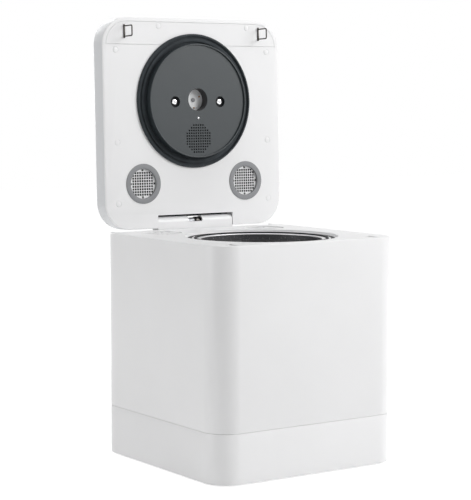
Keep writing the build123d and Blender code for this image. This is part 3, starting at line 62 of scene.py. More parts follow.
# Slack of a test by height, what a cutter stands out of a wall, and what it stands out of the lid.
HAIR = 0.001 * MM
REACH = 10 * MM
THROUGH = 50 * MM
FULL_TURN = 2 * math.pi
QUARTER_TURN = math.pi / 2
Colour = tuple[float, float, float]
Point = tuple[float, float, float]
Spot = tuple[float, float]
Socket = bpy.types.NodeSocket


class Along(Enum):
    """Direction that a brushed or wound finish runs in."""

    X = (1.0, 40.0, 40.0)
    Z = (40.0, 40.0, 1.0)


class Cut(Enum):
    """How one solid acts on another."""

    TAKE_AWAY = "DIFFERENCE"
    JOIN = "UNION"
    KEEP_COMMON = "INTERSECT"


# ----------------------------------------------------------------------
# Finishes
# ----------------------------------------------------------------------


class Nodes:
    """A shader tree in the making."""

    def __init__(self, tree: bpy.types.NodeTree) -> None:
        """Takes a tree and empties it."""
        self.tree = tree
        tree.nodes.clear()

    def feed(self, node: bpy.types.Node, inputs: dict[str | int, object]) -> None:
        """Fills a node's inputs.

        Args:
            node: The node.
            inputs: For each socket its value, or the socket that feeds it.
        """
        for key, value in inputs.items():
            if isinstance(value, Socket):
                self.tree.links.new(value, node.inputs[key])
            else:
                node.inputs[key].default_value = value

    def add(
        self, kind: str, inputs: dict[str | int, object] | None = None, **settings: object
    ) -> bpy.types.Node:
        """Adds a node.

        Args:
            kind: Blender's name of the node's type, less ShaderNode.
            inputs: For each socket its value, or the socket that feeds it.
            **settings: Properties of the node.

        Returns:
            The new node.
        """
        made = self.tree.nodes.new("ShaderNode" + kind)
        for key, value in settings.items():
            setattr(made, key, value)
        self.feed(made, inputs or {})
        return made


class Recipe(Nodes):
    """Tree of one material, built round a Principled shader."""

    def __init__(self, name: str) -> None:
        """Starts with the bare shader.

        Args:
            name: Name of the material.
        """
        self.material = bpy.data.materials.new(name)
        self.material.use_nodes = True
        super().__init__(self.material.node_tree)
        self.shader = self.add("BsdfPrincipled")
        self.add("OutputMaterial", {"Surface": self.shader.outputs["BSDF"]})
        self.coords = self.add("TexCoord").outputs["Object"]

    def set(self, **values: object) -> None:
        """Fills the shader's own sockets, underscores standing for spaces."""
        self.feed(self.shader, {key.replace("_", " "): value for key, value in values.items()})

    def stretched(self, stretch: Point) -> Socket:
        """Object coordinates scaled by a factor along each axis."""
        return self.add("Mapping", {"Scale": stretch, "Vector": self.coords}).outputs["Vector"]

    def noise(self, scale: float, detail: float = 2.0, where: Socket | None = None) -> Socket:
        """Noise over the piece, by its grains per metre and its octaves."""
        inputs = {"Scale": scale, "Detail": detail, "Vector": where or self.coords}
        return self.add("TexNoise", inputs).outputs["Fac"]

    def paint(self, source: Socket, stops: Sequence[tuple[float, Colour]]) -> None:
        """Colours the surface along a value.

        Args:
            source: The value.
            stops: Places from 0 to 1 with their colours.
        """
        made = self.add("ValToRGB", {"Fac": source})
        elements = made.color_ramp.elements
        while len(elements) < len(stops):
            elements.new(0.5)
        for element, (place, colour) in zip(elements, stops):
            element.position = place
            element.color = (*colour, 1.0)
        self.set(Base_Color=made.outputs["Color"])

    def polish(self, source: Socket, low: float, high: float) -> None:
        """Spreads the roughness over the middle range of a noise."""
        inputs = {"Value": source, "From Min": 0.3, "From Max": 0.7, "To Min": low, "To Max": high}
        self.set(Roughness=self.add("MapRange", inputs).outputs["Result"])

    def relief(self, height: Socket, depth: float, strength: float) -> None:
        """Raises the surface along a value, to a depth in metres of which a share shows."""
        inputs = {"Strength": strength, "Distance": depth, "Height": height}
        self.set(Normal=self.add("Bump", inputs).outputs["Normal"])


@dataclass(frozen=True)
class Finish:
    """Surface of a kind of material.

    Attributes:
        name: Name of the material.
        colour: Linear base colour.
        roughness: Mean roughness.
    """

    name: str
    colour: Colour
    roughness: float

    def material(self) -> bpy.types.Material:
        """Makes the material on first use.

        Returns:
            The material.
        """
        known = bpy.data.materials.get(self.name)
        if known:
            return known
        recipe = Recipe(self.name)
        self.mix(recipe)
        return recipe.material

    def tones(self, *stops: Spot) -> list[tuple[float, Colour]]:
        """Pairs each place on a ramp with the colour times its factor, held under 1."""
        return [(place, tuple(min(part * factor, 1) for part in self.colour)) for place, factor in stops]

    def mix(self, recipe: Recipe) -> None:
        """Fills the recipe, each kind of finish in its own way."""
        raise NotImplementedError


@dataclass(frozen=True)
class MouldedPlastic(Finish):
    """Injection-moulded plastic with a spark-eroded grain.

    Attributes:
        mottle: Share by which the colour varies.
        grain: Depth of the grain in metres.
        pitch: Grains per metre.
        coat: Weight of the clear skin of a glossy tool.
    """

    mottle: float = 0.012
    grain: float = 0.03 * MM
    pitch: float = 1400.0
    coat: float = 0.0

    def mix(self, recipe: Recipe) -> None:
        """Fills the recipe.

        Args:
            recipe: The tree to fill.
        """
        recipe.paint(recipe.noise(9.0, 3.0), self.tones((0.3, 1 - self.mottle), (0.7, 1 + self.mottle)))
        recipe.polish(recipe.noise(45.0, 4.0), self.roughness - 0.04, self.roughness + 0.04)
        recipe.relief(recipe.noise(self.pitch), self.grain, 0.35)
        recipe.set(IOR=1.5, Coat_Weight=self.coat, Coat_Roughness=0.12)


@dataclass(frozen=True)
class SoftRubber(Finish):
    """Moulded silicone or rubber with a dry bloom."""

    bloom: float = 0.35

    def mix(self, recipe: Recipe) -> None:
        """Fills the recipe.

        Args:
            recipe: The tree to fill.
        """
        recipe.paint(recipe.noise(60.0, 6.0), self.tones((0.35, 1), (0.75, 1 + self.bloom)))
        recipe.polish(recipe.noise(160.0, 3.0), self.roughness - 0.06, self.roughness + 0.08)
        recipe.relief(recipe.noise(900.0, 3.0), 0.04 * MM, 0.4)
        recipe.set(IOR=1.45, Specular_IOR_Level=0.12, Sheen_Weight=0.08, Sheen_Roughness=0.5)


@dataclass(frozen=True)
class BrushedMetal(Finish):
    """Plated, turned or drawn metal with fine lines along one direction."""

    along: Along = Along.X
    lines: float = 30.0

    def mix(self, recipe: Recipe) -> None:
        """Fills the recipe.

        Args:
            recipe: The tree to fill.
        """
        streaks = recipe.noise(self.lines, 4.0, recipe.stretched(self.along.value))
        recipe.paint(streaks, self.tones((0.3, 0.86), (0.7, 1.08)))
        recipe.polish(streaks, self.roughness - 0.05, self.roughness + 0.08)
        recipe.relief(streaks, 0.01 * MM, 0.5)
        recipe.set(Metallic=1.0, Anisotropic=0.35)


@dataclass(frozen=True)
class CoatedCasting(Finish):
    """Die-cast aluminium under a speckled non-stick coat."""

    fleck: Colour = (0.32, 0.32, 0.33)

    def mix(self, recipe: Recipe) -> None:
        """Fills the recipe.

        Args:
            recipe: The tree to fill.
        """
        recipe.paint(recipe.noise(700.0, 1.0), [*self.tones((0.0, 1), (0.67, 1.15)), (0.72, self.fleck)])
        recipe.polish(recipe.noise(120.0), self.roughness - 0.08, self.roughness + 0.08)
        recipe.relief(recipe.noise(260.0, 4.0), 0.08 * MM, 0.4)
        recipe.set(Metallic=0.15, IOR=1.6)


@dataclass(frozen=True)
class CircuitBoard(Finish):
    """Solder mask over copper tracks."""

    track: Colour = (0.05, 0.3, 0.1)

    def mix(self, recipe: Recipe) -> None:
        """Fills the recipe.

        Args:
            recipe: The tree to fill.
        """
        (_, mask), (_, dark) = self.tones((0, 1), (1, 0.85))
        colours = {"Color1": (*mask, 1), "Color2": (*dark, 1), "Mortar": (*self.track, 1)}
        inputs = {"Scale": 90.0, "Mortar Size": 0.03, "Vector": recipe.coords, **colours}
        tracks = recipe.add("TexBrick", inputs, offset=0.5)
        recipe.relief(tracks.outputs["Fac"], 0.05 * MM, 0.5)
        recipe.set(Base_Color=tracks.outputs["Color"], Roughness=self.roughness, IOR=1.5)


@dataclass(frozen=True)
class DarkGlass(Finish):
    """Back-painted glass."""

    def mix(self, recipe: Recipe) -> None:
        """Fills the recipe.

        Args:
            recipe: The tree to fill.
        """
        wipe = recipe.noise(35.0, 5.0)
        recipe.paint(wipe, self.tones((0.3, 1), (0.8, 1.6)))
        recipe.polish(wipe, self.roughness, self.roughness + 0.06)
        recipe.set(IOR=1.52, Coat_Weight=0.5, Coat_Roughness=0.04)


@dataclass(frozen=True)
class Felt(Finish):
    """Matted fibre."""

    def mix(self, recipe: Recipe) -> None:
        """Fills the recipe.

        Args:
            recipe: The tree to fill.
        """
        fibres = recipe.noise(500.0, 8.0)
        recipe.paint(fibres, self.tones((0.3, 0.75), (0.7, 1.1)))
        recipe.relief(fibres, 0.6 * MM, 0.7)
        recipe.set(Roughness=self.roughness, Sheen_Weight=0.3, Sheen_Roughness=0.6)


@dataclass(frozen=True)
class Palette:
    """Every finish on the machine."""

    body: Finish = MouldedPlastic("body_white_abs", (0.845, 0.845, 0.85), 0.38, coat=0.06)
    lid: Finish = MouldedPlastic("lid_grey_abs", (0.64, 0.65, 0.665), 0.36, coat=0.1)
    panel: Finish = MouldedPlastic("panel_white_abs", (0.86, 0.86, 0.865), 0.46)
    mesh: Finish = MouldedPlastic("mesh_white_abs", (0.85, 0.85, 0.855), 0.45)
    ring: Finish = MouldedPlastic("ring_grey_abs", (0.245, 0.25, 0.26), 0.5)
    disc: Finish = MouldedPlastic("disc_slate_pbt", (0.022, 0.029, 0.033), 0.42, 0.05, 0.05 * MM, 1100.0)
    seal: Finish = SoftRubber("seal_black_silicone", (0.034, 0.04, 0.045), 0.62)
    rubber: Finish = SoftRubber("foot_black_rubber", (0.02, 0.02, 0.022), 0.66)
    glass: Finish = DarkGlass("touch_black_glass", (0.012, 0.012, 0.014), 0.06)
    steel: Finish = BrushedMetal("bright_plated_steel", (0.8, 0.8, 0.81), 0.16, Along.X, 60.0)
    zinc: Finish = BrushedMetal("zinc_plated_steel", (0.55, 0.56, 0.58), 0.34, Along.Z)
    wire: Finish = BrushedMetal("dark_spring_wire", (0.06, 0.056, 0.052), 0.3, Along.X, 50.0)
    rim: Finish = BrushedMetal("turned_aluminium_rim", (0.62, 0.62, 0.63), 0.42, Along.Z, 40.0)
    pot: Finish = BrushedMetal("drawn_aluminium", (0.68, 0.68, 0.69), 0.3, Along.Z)
    foil: Finish = BrushedMetal("heater_stainless_band", (0.5, 0.48, 0.45), 0.28, Along.Z)
    bronze: Finish = BrushedMetal("sintered_bronze", (0.42, 0.29, 0.14), 0.45, Along.Z)
    sinter: Finish = BrushedMetal("sintered_steel", (0.3, 0.3, 0.31), 0.5, Along.Z)
    can: Finish = BrushedMetal("motor_can_steel", (0.42, 0.43, 0.45), 0.36, Along.Z)
    coat: Finish = CoatedCasting("bucket_nonstick_coat", (0.045, 0.046, 0.05), 0.4)
    black: Finish = MouldedPlastic("black_moulding", (0.022, 0.022, 0.024), 0.5, 0.08, 0.06 * MM, 900.0)
    duct: Finish = MouldedPlastic("grey_polypropylene", (0.06, 0.06, 0.064), 0.6, 0.05)
    acetal: Finish = MouldedPlastic("natural_acetal", (0.74, 0.73, 0.69), 0.38, 0.02)
    board: Finish = CircuitBoard("green_circuit_board", (0.015, 0.12, 0.045), 0.4)
    # Lamp board near white: painted light that makes up for the shade in the lamp hole.
    lamp: Finish = CircuitBoard("lamp_board_painted_light", (0.93, 0.93, 0.94), 0.4, (0.86, 0.87, 0.88))
    chip: Finish = MouldedPlastic("component_epoxy", (0.03, 0.03, 0.033), 0.5, 0.15, 0.08 * MM, 800.0)
    amber: Finish = MouldedPlastic("amber_component", (0.33, 0.17, 0.05), 0.4, 0.1)
    felt: Finish = Felt("glass_fibre_felt", (0.56, 0.55, 0.52), 0.95)
    cup: Finish = MouldedPlastic("filter_white_cup", (0.75, 0.75, 0.755), 0.45)
    carbon: Finish = Felt("activated_carbon", (0.02, 0.02, 0.021), 0.8)


PALETTE = Palette()


# ----------------------------------------------------------------------
# Shaping
# ----------------------------------------------------------------------


def above(level: float) -> Callable[[Vector], bool]:
    """Test that finds the edges at a level or over it."""
    return lambda middle: middle.z > level - HAIR


def below(level: float) -> Callable[[Vector], bool]:
    """Test that finds the edges at a level or under it."""
    return lambda middle: middle.z < level + HAIR


def mirrored(x: float, y: float) -> list[Spot]:
    """A place and its mirror image across x = 0."""
    return [(-x, y), (x, y)]


def corners(inset: float) -> list[Spot]:
    """The four places at one distance from both axes."""
    return [(x, y) for x in (-inset, inset) for y in (-inset, inset)]


def grid_places(pitch: float, count: int, radius: float) -> list[Spot]:
    """Places on a square grid inside a circle.

    Args:
        pitch: Distance between neighbours.
        count: Places along a side.
        radius: Radius of the circle.

    Returns:
        The places' x and y.
    """
    half = (count - 1) / 2
    cells = [((i - half) * pitch, (j - half) * pitch) for i in range(count) for j in range(count)]
    return [cell for cell in cells if math.hypot(*cell) < radius]


class Workpiece:
    """A mesh in the making, in metres, shaped by bmesh operators.

    Attributes:
        bm: The mesh.
    """

    def __init__(self) -> None:
        """Starts with nothing."""
        self.bm = bmesh.new()

    @classmethod
    def block(cls, low: Point, high: Point, corner: float = 0.0, steps: int = 12) -> "Workpiece":
        """Block with rounded upright edges.

        Args:
            low: Lowest corner.
            high: Highest corner.
            corner: Radius of the upright edges.
            steps: Faces round each of them.

        Returns:
            The block.
        """
        made = cls()
        size = Vector(high) - Vector(low)
        bmesh.ops.create_cube(made.bm, size=1.0)
        bmesh.ops.scale(made.bm, vec=size, verts=made.bm.verts)
        made.shift(*(Vector(low) + Vector(high)) / 2)
        if corner:
            upright = [e for e in made.bm.edges if abs(e.verts[0].co.z - e.verts[1].co.z) > size.z / 2]
            made.bevel(upright, corner, steps)
        return made

    @classmethod
    def slab(
        cls, x: float, y: float, low: float, high: float, corner: float = 0.0, steps: int = 12
    ) -> "Workpiece":
        """Block on the local Z axis, by half its width and half its depth."""
        return cls.block((-x, -y, low), (x, y, high), corner, steps)

    @classmethod
    def drum(cls, radius: float, low: float, high: float, steps: int = 64) -> "Workpiece":
        """Upright cylinder on the local Z axis.

        Args:
            radius: Its radius.
            low: Height of its foot.
            high: Height of its top.
            steps: Faces round it.

        Returns:
            The cylinder.
        """
        made = cls()
        bmesh.ops.create_cone(
            made.bm, cap_ends=True, segments=steps, radius1=radius, radius2=radius, depth=high - low
        )
        return made.shift(z=(low + high) / 2)

    @classmethod
    def lathe(cls, profile: Sequence[Spot], steps: int = 144) -> "Workpiece":
        """Closed outline turned round the local Z axis.

        Args:
            profile: Radius and height of each point, the last one joined to the first.
            steps: Faces round the turn.

        Returns:
            The turned piece.
        """
        made = cls()
        verts = [made.bm.verts.new((radius, 0, height)) for radius, height in profile]
        for a, b in zip(verts, verts[1:] + verts[:1]):
            if a.co.x > 0 or b.co.x > 0:
                made.bm.edges.new((a, b))
        bmesh.ops.spin(
            made.bm, geom=[*made.bm.verts, *made.bm.edges], cent=(0, 0, 0), axis=(0, 0, 1), angle=FULL_TURN,
            steps=steps, use_merge=True,
        )
        bmesh.ops.remove_doubles(made.bm, verts=made.bm.verts, dist=0.1 * HAIR)
        bmesh.ops.recalc_face_normals(made.bm, faces=made.bm.faces)
        return made

    @classmethod
    def band(cls, inner: float, outer: float, low: float, high: float, steps: int = 144) -> "Workpiece":
        """Ring of square section between two radii and two heights."""
        return cls.lathe([(inner, low), (outer, low), (outer, high), (inner, high)], steps)

    @classmethod
    def copy_of(cls, node: str) -> "Workpiece":
        """Merged copy of a frame node.

        Args:
            node: Name of the node.

        Returns:
            The copy, its flat faces whole again.
        """
        made = cls()
        made.bm.from_mesh(frame["nodes"][node].data)
        bmesh.ops.remove_doubles(made.bm, verts=made.bm.verts, dist=HAIR)
        flat = math.radians(0.5)
        bmesh.ops.dissolve_limit(made.bm, angle_limit=flat, verts=made.bm.verts, edges=made.bm.edges)
        return made

    def place(self, matrix: Matrix) -> "Workpiece":
        """Moves the piece by a matrix and returns it."""
        bmesh.ops.transform(self.bm, matrix=matrix, verts=self.bm.verts)
        return self

    def shift(self, x: float = 0.0, y: float = 0.0, z: float = 0.0) -> "Workpiece":
        """Moves the piece and returns it."""
        bmesh.ops.translate(self.bm, vec=(x, y, z), verts=self.bm.verts)
        return self

    def bevel(self, edges: Iterable[bmesh.types.BMEdge], width: float, steps: int = 3) -> None:
        """Rounds edges.

        Args:
            edges: The edges.
            width: Radius of the rounding.
            steps: Faces across it.
        """
        bmesh.ops.bevel(
            self.bm, geom=list(edges), offset=width, segments=steps, profile=0.5, affect="EDGES", material=-1,
            clamp_overlap=True,
        )

    def round_where(
        self, width: float, steps: int = 3, test: Callable[[Vector], bool] = lambda middle: True
    ) -> "Workpiece":
        """Rounds the sharp edges that pass a test.

        Args:
            width: Radius of the rounding.
            steps: Faces across it.
            test: Says of an edge's middle point whether it is rounded.

        Returns:
            The piece.
        """
        limit = math.radians(35)
        chosen = []
        for edge in self.bm.edges:
            if len(edge.link_faces) != 2 or edge.calc_face_angle() < limit:
                continue
            if test((edge.verts[0].co + edge.verts[1].co) / 2):
                chosen.append(edge)
        self.bevel(chosen, width, steps)
        return self

    def add(self, other: "Workpiece") -> "Workpiece":
        """Takes in another piece's faces as they stand.

        Args:
            other: The piece, used up.

        Returns:
            This piece.
        """
        mould = other.as_mesh("mould")
        self.bm.from_mesh(mould)
        bpy.data.meshes.remove(mould)
        return self

    def repeat(self, moves: Iterable[Matrix]) -> "Workpiece":
        """Repeats the piece, moved by each matrix.

        Args:
            moves: The matrices.

        Returns:
            The copies as one piece.
        """
        made = Workpiece()
        mould = self.as_mesh("mould")
        for move in moves:
            start = len(made.bm.verts)
            made.bm.from_mesh(mould)
            made.bm.verts.ensure_lookup_table()
            bmesh.ops.transform(made.bm, matrix=move, verts=made.bm.verts[start:])
        bpy.data.meshes.remove(mould)
        return made

    def array(self, places: Iterable[Spot]) -> "Workpiece":
        """Repeats the piece at each x and y, as one piece."""
        return self.repeat(Matrix.Translation((*place, 0)) for place in places)

    def combine(self, tool: "Workpiece", how: Cut = Cut.TAKE_AWAY) -> "Workpiece":
        """Cuts, joins or trims with another piece.

        Args:
            tool: The other piece, used up.
            how: What is done.

        Returns:
            This piece.
        """
        body, knife = self.as_object("shaped"), tool.as_object("tool")
        modifier = body.modifiers.new("cut", "BOOLEAN")
        modifier.operation = how.value
        modifier.object = knife
        modifier.solver = "EXACT"
        graph = bpy.context.evaluated_depsgraph_get()
        shaped = bpy.data.meshes.new_from_object(body.evaluated_get(graph))
        self.bm = bmesh.new()
        self.bm.from_mesh(shaped)
        meshes = (body.data, knife.data, shaped)
        for used in (body, knife):
            bpy.data.objects.remove(used)
        for mesh in meshes:
            bpy.data.meshes.remove(mesh)
        return self

    def as_mesh(self, name: str) -> bpy.types.Mesh:
        """Ends the shaping.

        Args:
            name: Name of the mesh.

        Returns:
            The mesh.
        """
        mesh = bpy.data.meshes.new(name)
        self.bm.to_mesh(mesh)
        self.bm.free()
        return mesh

    def as_object(self, name: str) -> bpy.types.Object:
        """Ends the shaping.

        Args:
            name: Name of the object.

        Returns:
            The object, in the scene.
        """
        made = bpy.data.objects.new(name, self.as_mesh(name))
        bpy.context.scene.collection.objects.link(made)
        return made

    def deliver(
        self, name: str, body: str, finish: Finish, slot: str, *stands_for: str, soften: float = 0.0,
        crease: float = 32.0,
    ) -> bpy.types.Object:
        """Ends the shaping, dresses the piece and sets it on its body.

        Args:
            name: Name of the piece.
            body: Body that it rides on.
            finish: Its finish.
            slot: Material slot of the record; not used.
            *stands_for: Frame nodes that it replaces.
            soften: Radius of a live bevel on sharp edges, or 0.
            crease: Angle in degrees from which shading breaks.

        Returns:
            The finished piece.
        """
        made = self.as_object(name)
        made.data.shade_smooth()
        if soften:
            bevel = made.modifiers.new("soft_edges", "BEVEL")
            bevel.width = soften
            bevel.segments = 2
            bevel.limit_method = "ANGLE"
            bevel.angle_limit = math.radians(crease)
            bevel.harden_normals = True
        else:
            made.data.set_sharp_from_angle(angle=math.radians(crease))
        made.data.materials.append(finish.material())
        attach(made, body)
        if stands_for:
            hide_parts(*stands_for)
        log.info("piece %s: %d faces", name, len(made.data.polygons))
        return made


def dress(finish: Finish, *nodes: str) -> None:
    """Gives frame nodes that stay their finish.

    Args:
        finish: The finish.
        *nodes: Names of the nodes.
    """
    for node in nodes:
        shown = frame["nodes"][node]
        if not shown.material_slots:
            shown.data.materials.append(finish.material())
        for place in shown.material_slots:
            place.material = finish.material()
        log.info("node %s dressed as %s", node, finish.name)


# ----------------------------------------------------------------------
# Body
# ----------------------------------------------------------------------


@dataclass
class Body:
    """Base tray, housing shell with the deck, and feet."""

    half: float = 145 * MM
    corner: float = 34.6 * MM
    corner_steps: int = 20
    wall: float = 2.8 * MM
    floor: float = 3.0 * MM
    deck_wall: float = 3.0 * MM
    under_edge: float = 1.2 * MM
    deck_edge: float = 0.8 * MM
    seam_edge: float = 0.25 * MM
    seam_gap: float = 0.35 * MM
    chamber_y: float = -31 * MM
    mouth: float = 102.3 * MM
    port: float = 27.6 * MM
    port_x: float = 85 * MM
    port_y: float = 82.4 * MM
    trough_y: float = 126.5 * MM
    trough_half: float = 131 * MM
    trough_depth: float = 2.8 * MM
    pad_side: float = 4 * MM
    pad_front: float = 3 * MM
    pad_depth: float = 6.2 * MM
    overlap: float = 0.1 * MM
    slot: Spot = (3.5 * MM, 10 * MM)
    slot_x: float = 111 * MM
    slot_y: float = -126 * MM
    grille_half: float = 33 * MM
    grille_z: float = 165.1 * MM
    air_slot: Spot = (1.6 * MM, 17 * MM)
    air_pitch: float = 9 * MM
    air_y: float = -95 * MM
    foot: float = 10 * MM
    foot_gap: float = 0.3 * MM
    foot_seat: float = 1.5 * MM
    foot_height: float = 4.5 * MM
    foot_inset: float = 105 * MM
    screw_inset: float = 119 * MM
    screw_hole: float = 3.9 * MM
    inlet_low: Point = (78.2 * MM, 130 * MM, 24.7 * MM)
    inlet_high: Point = (105.8 * MM, 150 * MM, 45.3 * MM)
    base_low: float = field(default_factory=lambda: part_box("base_tray")[0].z)
    shell_low: float = field(default_factory=lambda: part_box("housing_shell")[0].z)
    deck: float = field(default_factory=lambda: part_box("housing_shell")[1].z)

    @property
    def seam(self) -> float:
        """Height of the base tray's rim."""
        return self.shell_low - self.seam_gap

    def tower(self, low: float, high: float, inset: float = 0.0) -> Workpiece:
        """Square tower with round corners, inset from the outside."""
        half = self.half - inset
        return Workpiece.slab(half, half, low, high, self.corner - inset, self.corner_steps)

    def build(self) -> None:
        """Builds the three pieces."""
        self.base()
        self.shell()
        self.feet()

    def base(self) -> None:
        """Open tray with air slots, foot seats and the inlet's opening."""
        low, high = self.base_low - REACH, self.base_low + REACH
        tray = self.tower(self.base_low, self.seam)
        tray.round_where(self.under_edge, 4, below(self.base_low))
        tray.round_where(self.seam_edge, 2, above(self.seam))
        tray.combine(self.tower(self.base_low + self.floor, self.seam + REACH, self.wall))
        slot = Workpiece.slab(*self.air_slot, low, high, 1.5 * MM, 4)
        tray.combine(slot.array([(self.air_pitch * step, self.air_y) for step in range(-3, 4)]))
        seat = Workpiece.drum(self.foot + self.foot_gap, low, self.base_low + self.foot_seat)
        tray.combine(seat.array(corners(self.foot_inset)))
        tunnel = Workpiece.drum(self.screw_hole, low, high, 32)
        tray.combine(tunnel.array(corners(self.screw_inset)))
        tray.combine(Workpiece.block(self.inlet_low, self.inlet_high))
        tray.deliver("base_tray_moulding", "housing", PALETTE.body, "body_white", "base_tray")

    def shell(self) -> None:
        """Upper moulding: deck with the mouth, ports, slots and hinge trough."""
        low, high, under = self.deck - 1.2 * REACH, self.deck + REACH, self.deck - self.deck_wall
        shell = self.tower(self.shell_low, self.deck)
        shell.round_where(self.deck_edge, 4, above(self.deck))
        shell.round_where(self.seam_edge, 2, below(self.shell_low))
        shell.combine(self.tower(self.shell_low - REACH, under, self.wall))
        side = self.trough_half + self.pad_side
        pad = Workpiece.block(
            (-side, self.trough_y - self.pad_front, self.deck - self.pad_depth),
            (side, self.half - self.wall, under + self.overlap),
        )
        room = self.tower(self.deck - 2 * REACH, self.deck, self.wall - self.overlap)
        shell.combine(pad.combine(room, Cut.KEEP_COMMON), Cut.JOIN)
        trough = Workpiece.block(
            (-self.trough_half, self.trough_y, self.deck - self.trough_depth),
            (self.trough_half, self.half + REACH, high),
        )
        front = self.trough_y + 0.1 * MM
        trough.round_where(0.8 * MM, 3, lambda middle: middle.y < front and middle.z < self.deck)
        shell.combine(trough)
        shell.combine(Workpiece.drum(self.mouth, low, high, 128).shift(y=self.chamber_y))
        port = Workpiece.drum(self.port, low, high, 72)
        shell.combine(port.array(mirrored(self.port_x, self.port_y)))
        slot = Workpiece.slab(*self.slot, low, high, 2 * MM, 5)
        shell.combine(slot.array(mirrored(self.slot_x, self.slot_y)))
        grille = Workpiece.slab(self.grille_half, self.grille_half, -REACH, REACH, 5 * MM, 6)
        wall = Matrix.Translation((0, self.half, self.grille_z)) @ Matrix.Rotation(QUARTER_TURN, 4, "X")
        shell.combine(grille.place(wall))
        shell.deliver(
            "housing_moulding", "housing", PALETTE.body, "body_white", "housing_shell", soften=0.25 * MM
        )

    def feet(self) -> None:
        """Four turned rubber feet with a dished sole."""
        profile = [
            (0, 0.5 * MM), (6.5 * MM, 0.5 * MM), (7 * MM, 0), (9.2 * MM, 0), (self.foot, 0.8 * MM),
            (self.foot, self.foot_height), (0, self.foot_height),
        ]
        feet = Workpiece.lathe(profile, 48).array(corners(self.foot_inset))
        feet.deliver("moulded_feet", "housing", PALETTE.rubber, "black_rubber", "rubber_feet")


# ----------------------------------------------------------------------
# Chamber mouth, bucket and stirrer
# ----------------------------------------------------------------------


@dataclass
class Mouth:
    """Rings round the chamber, and the bucket with its bail and stirrer."""

    centre_y: float = -31 * MM
    ring_outer: float = 100.7 * MM
    ring_inner: float = 90.2 * MM
    ring_lap: float = 108.3 * MM
    ring_seat: float = 300.9 * MM
    bed_outer: float = 98.5 * MM
    bed_inner: float = 92.5 * MM
    bed_depth: float = 1.2 * MM
    gasket_outer: float = 89.6 * MM
    gasket_inner: float = 87.4 * MM
    rim: float = 86.6 * MM
    rim_height: float = 5 * MM
    rim_cap: float = 1.2 * MM
    collar: float = 30 * MM
    mouth: float = 80.6 * MM
    foot: float = 76.5 * MM
    cove: float = 6 * MM
    bucket_wall: float = 1.5 * MM
    bucket_floor: float = 3 * MM
    bush_inner: float = 6.05 * MM
    bush_outer: float = 11 * MM
    bush_height: float = 7.5 * MM
    bottom: float = 119 * MM
    flange: float = 295.5 * MM

    def build(self) -> None:
        """Builds the rings, the bucket and what is in it."""
        self.rings()
        self.bucket()
        bail = Workpiece.copy_of("bucket_bail")
        bail.deliver("bucket_handle", "bail", PALETTE.black, "bail_black", "bucket_bail", soften=0.7 * MM)
        arms = Workpiece.copy_of("stirrer")
        arms.deliver("cast_stirrer_arms", "stirrer", PALETTE.coat, "cast_stirrer", "stirrer", soften=1 * MM)
        dress(PALETTE.pot, "heating_chamber", "chamber_posts")

    def rings(self) -> None:
        """White clamp ring with its flange, the dark bed that the lid's lip meets, and the gasket."""
        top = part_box("deck_ring")[1].z
        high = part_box("chamber_gasket")[1].z
        bed = top - self.bed_depth
        cushion = Workpiece.band(self.bed_inner, self.bed_outer, bed, top)
        cushion.round_where(0.35 * MM, 3, above(top))
        clamp = Workpiece.lathe(
            [(self.ring_inner, self.flange), (self.ring_lap, self.flange), (self.ring_lap, self.ring_seat),
             (self.ring_outer, self.ring_seat), (self.ring_outer, top), (self.bed_outer, top),
             (self.bed_outer, bed), (self.bed_inner, bed), (self.bed_inner, top), (self.ring_inner, top)]
        )
        clamp.round_where(0.5 * MM, 4, above(top))
        gasket = Workpiece.band(self.gasket_inner, self.gasket_outer, self.flange, high)
        gasket.round_where(0.75 * MM, 4, above(high))
        for piece, name, finish, slot, node in (
            (cushion, "mouth_seal_bed", PALETTE.rubber, "black_rubber", "deck_ring"),
            (clamp, "mouth_clamp_ring", PALETTE.body, "body_white", "deck_ring"),
            (gasket, "mouth_gasket", PALETTE.rubber, "black_rubber", "chamber_gasket"),
        ):
            piece.shift(y=self.centre_y).deliver(name, "housing", finish, slot, node)

    def bucket(self) -> None:
        """Cast bucket with a turned bright rim, a coved floor and a bush."""
        top = self.flange + self.rim_height
        rim_z, step_z = top - self.rim_cap, self.flange - self.collar
        floor, bush = self.bottom + self.bucket_floor, self.bottom + self.bush_height
        wall, cove = self.bucket_wall, self.cove
        bucket = Workpiece.lathe(
            [(self.bush_inner, self.bottom), (self.foot - cove, self.bottom), (self.foot, self.bottom + cove),
             (self.mouth + wall, step_z), (self.mouth + wall, self.flange), (self.rim, self.flange),
             (self.rim, rim_z), (self.mouth, rim_z), (self.mouth, step_z), (self.foot - wall, floor + cove),
             (self.foot - wall - cove, floor), (self.bush_outer, floor), (self.bush_outer, bush),
             (self.bush_inner, bush)], 128
        )
        rim = Workpiece.band(self.mouth, self.rim, rim_z, top, 128)
        rim.round_where(0.9 * MM, 4, above(top))
        for piece, name, finish, slot in (
            (bucket, "coated_bucket", PALETTE.coat, "nonstick_coat"),
            (rim, "bucket_turned_rim", PALETTE.rim, "pot_aluminium"),
        ):
            piece.shift(y=self.centre_y).deliver(name, "bucket", finish, slot, "waste_bucket", crease=50)


# ----------------------------------------------------------------------
# Lid
# ----------------------------------------------------------------------


@dataclass(frozen=True)
class LidFrame:
    """The open lid's own directions: x across, y up from its rear edge, z out of its inner face."""

    inset: float = 7.9 * MM
    drop: float = 8.5 * MM

    @property
    def matrix(self) -> Matrix:
        """Leads from the lid's directions to the row frame.

        Returns:
            The matrix.
        """
        hinge = next(joint for joint in frame["joints"] if joint["name"] == "lid_hinge")
        tilt = -math.radians(hinge["range_deg"][0])
        up = Vector((0, -math.cos(tilt), math.sin(tilt)))
        out = Vector((0, -math.sin(tilt), -math.cos(tilt)))
        origin = Vector(hinge["pos_m"]) - up * self.inset + out * self.drop
        turn = Matrix((Vector((1, 0, 0)), up, out)).transposed()
        return Matrix.Translation(origin) @ turn.to_4x4()


LID = LidFrame().matrix


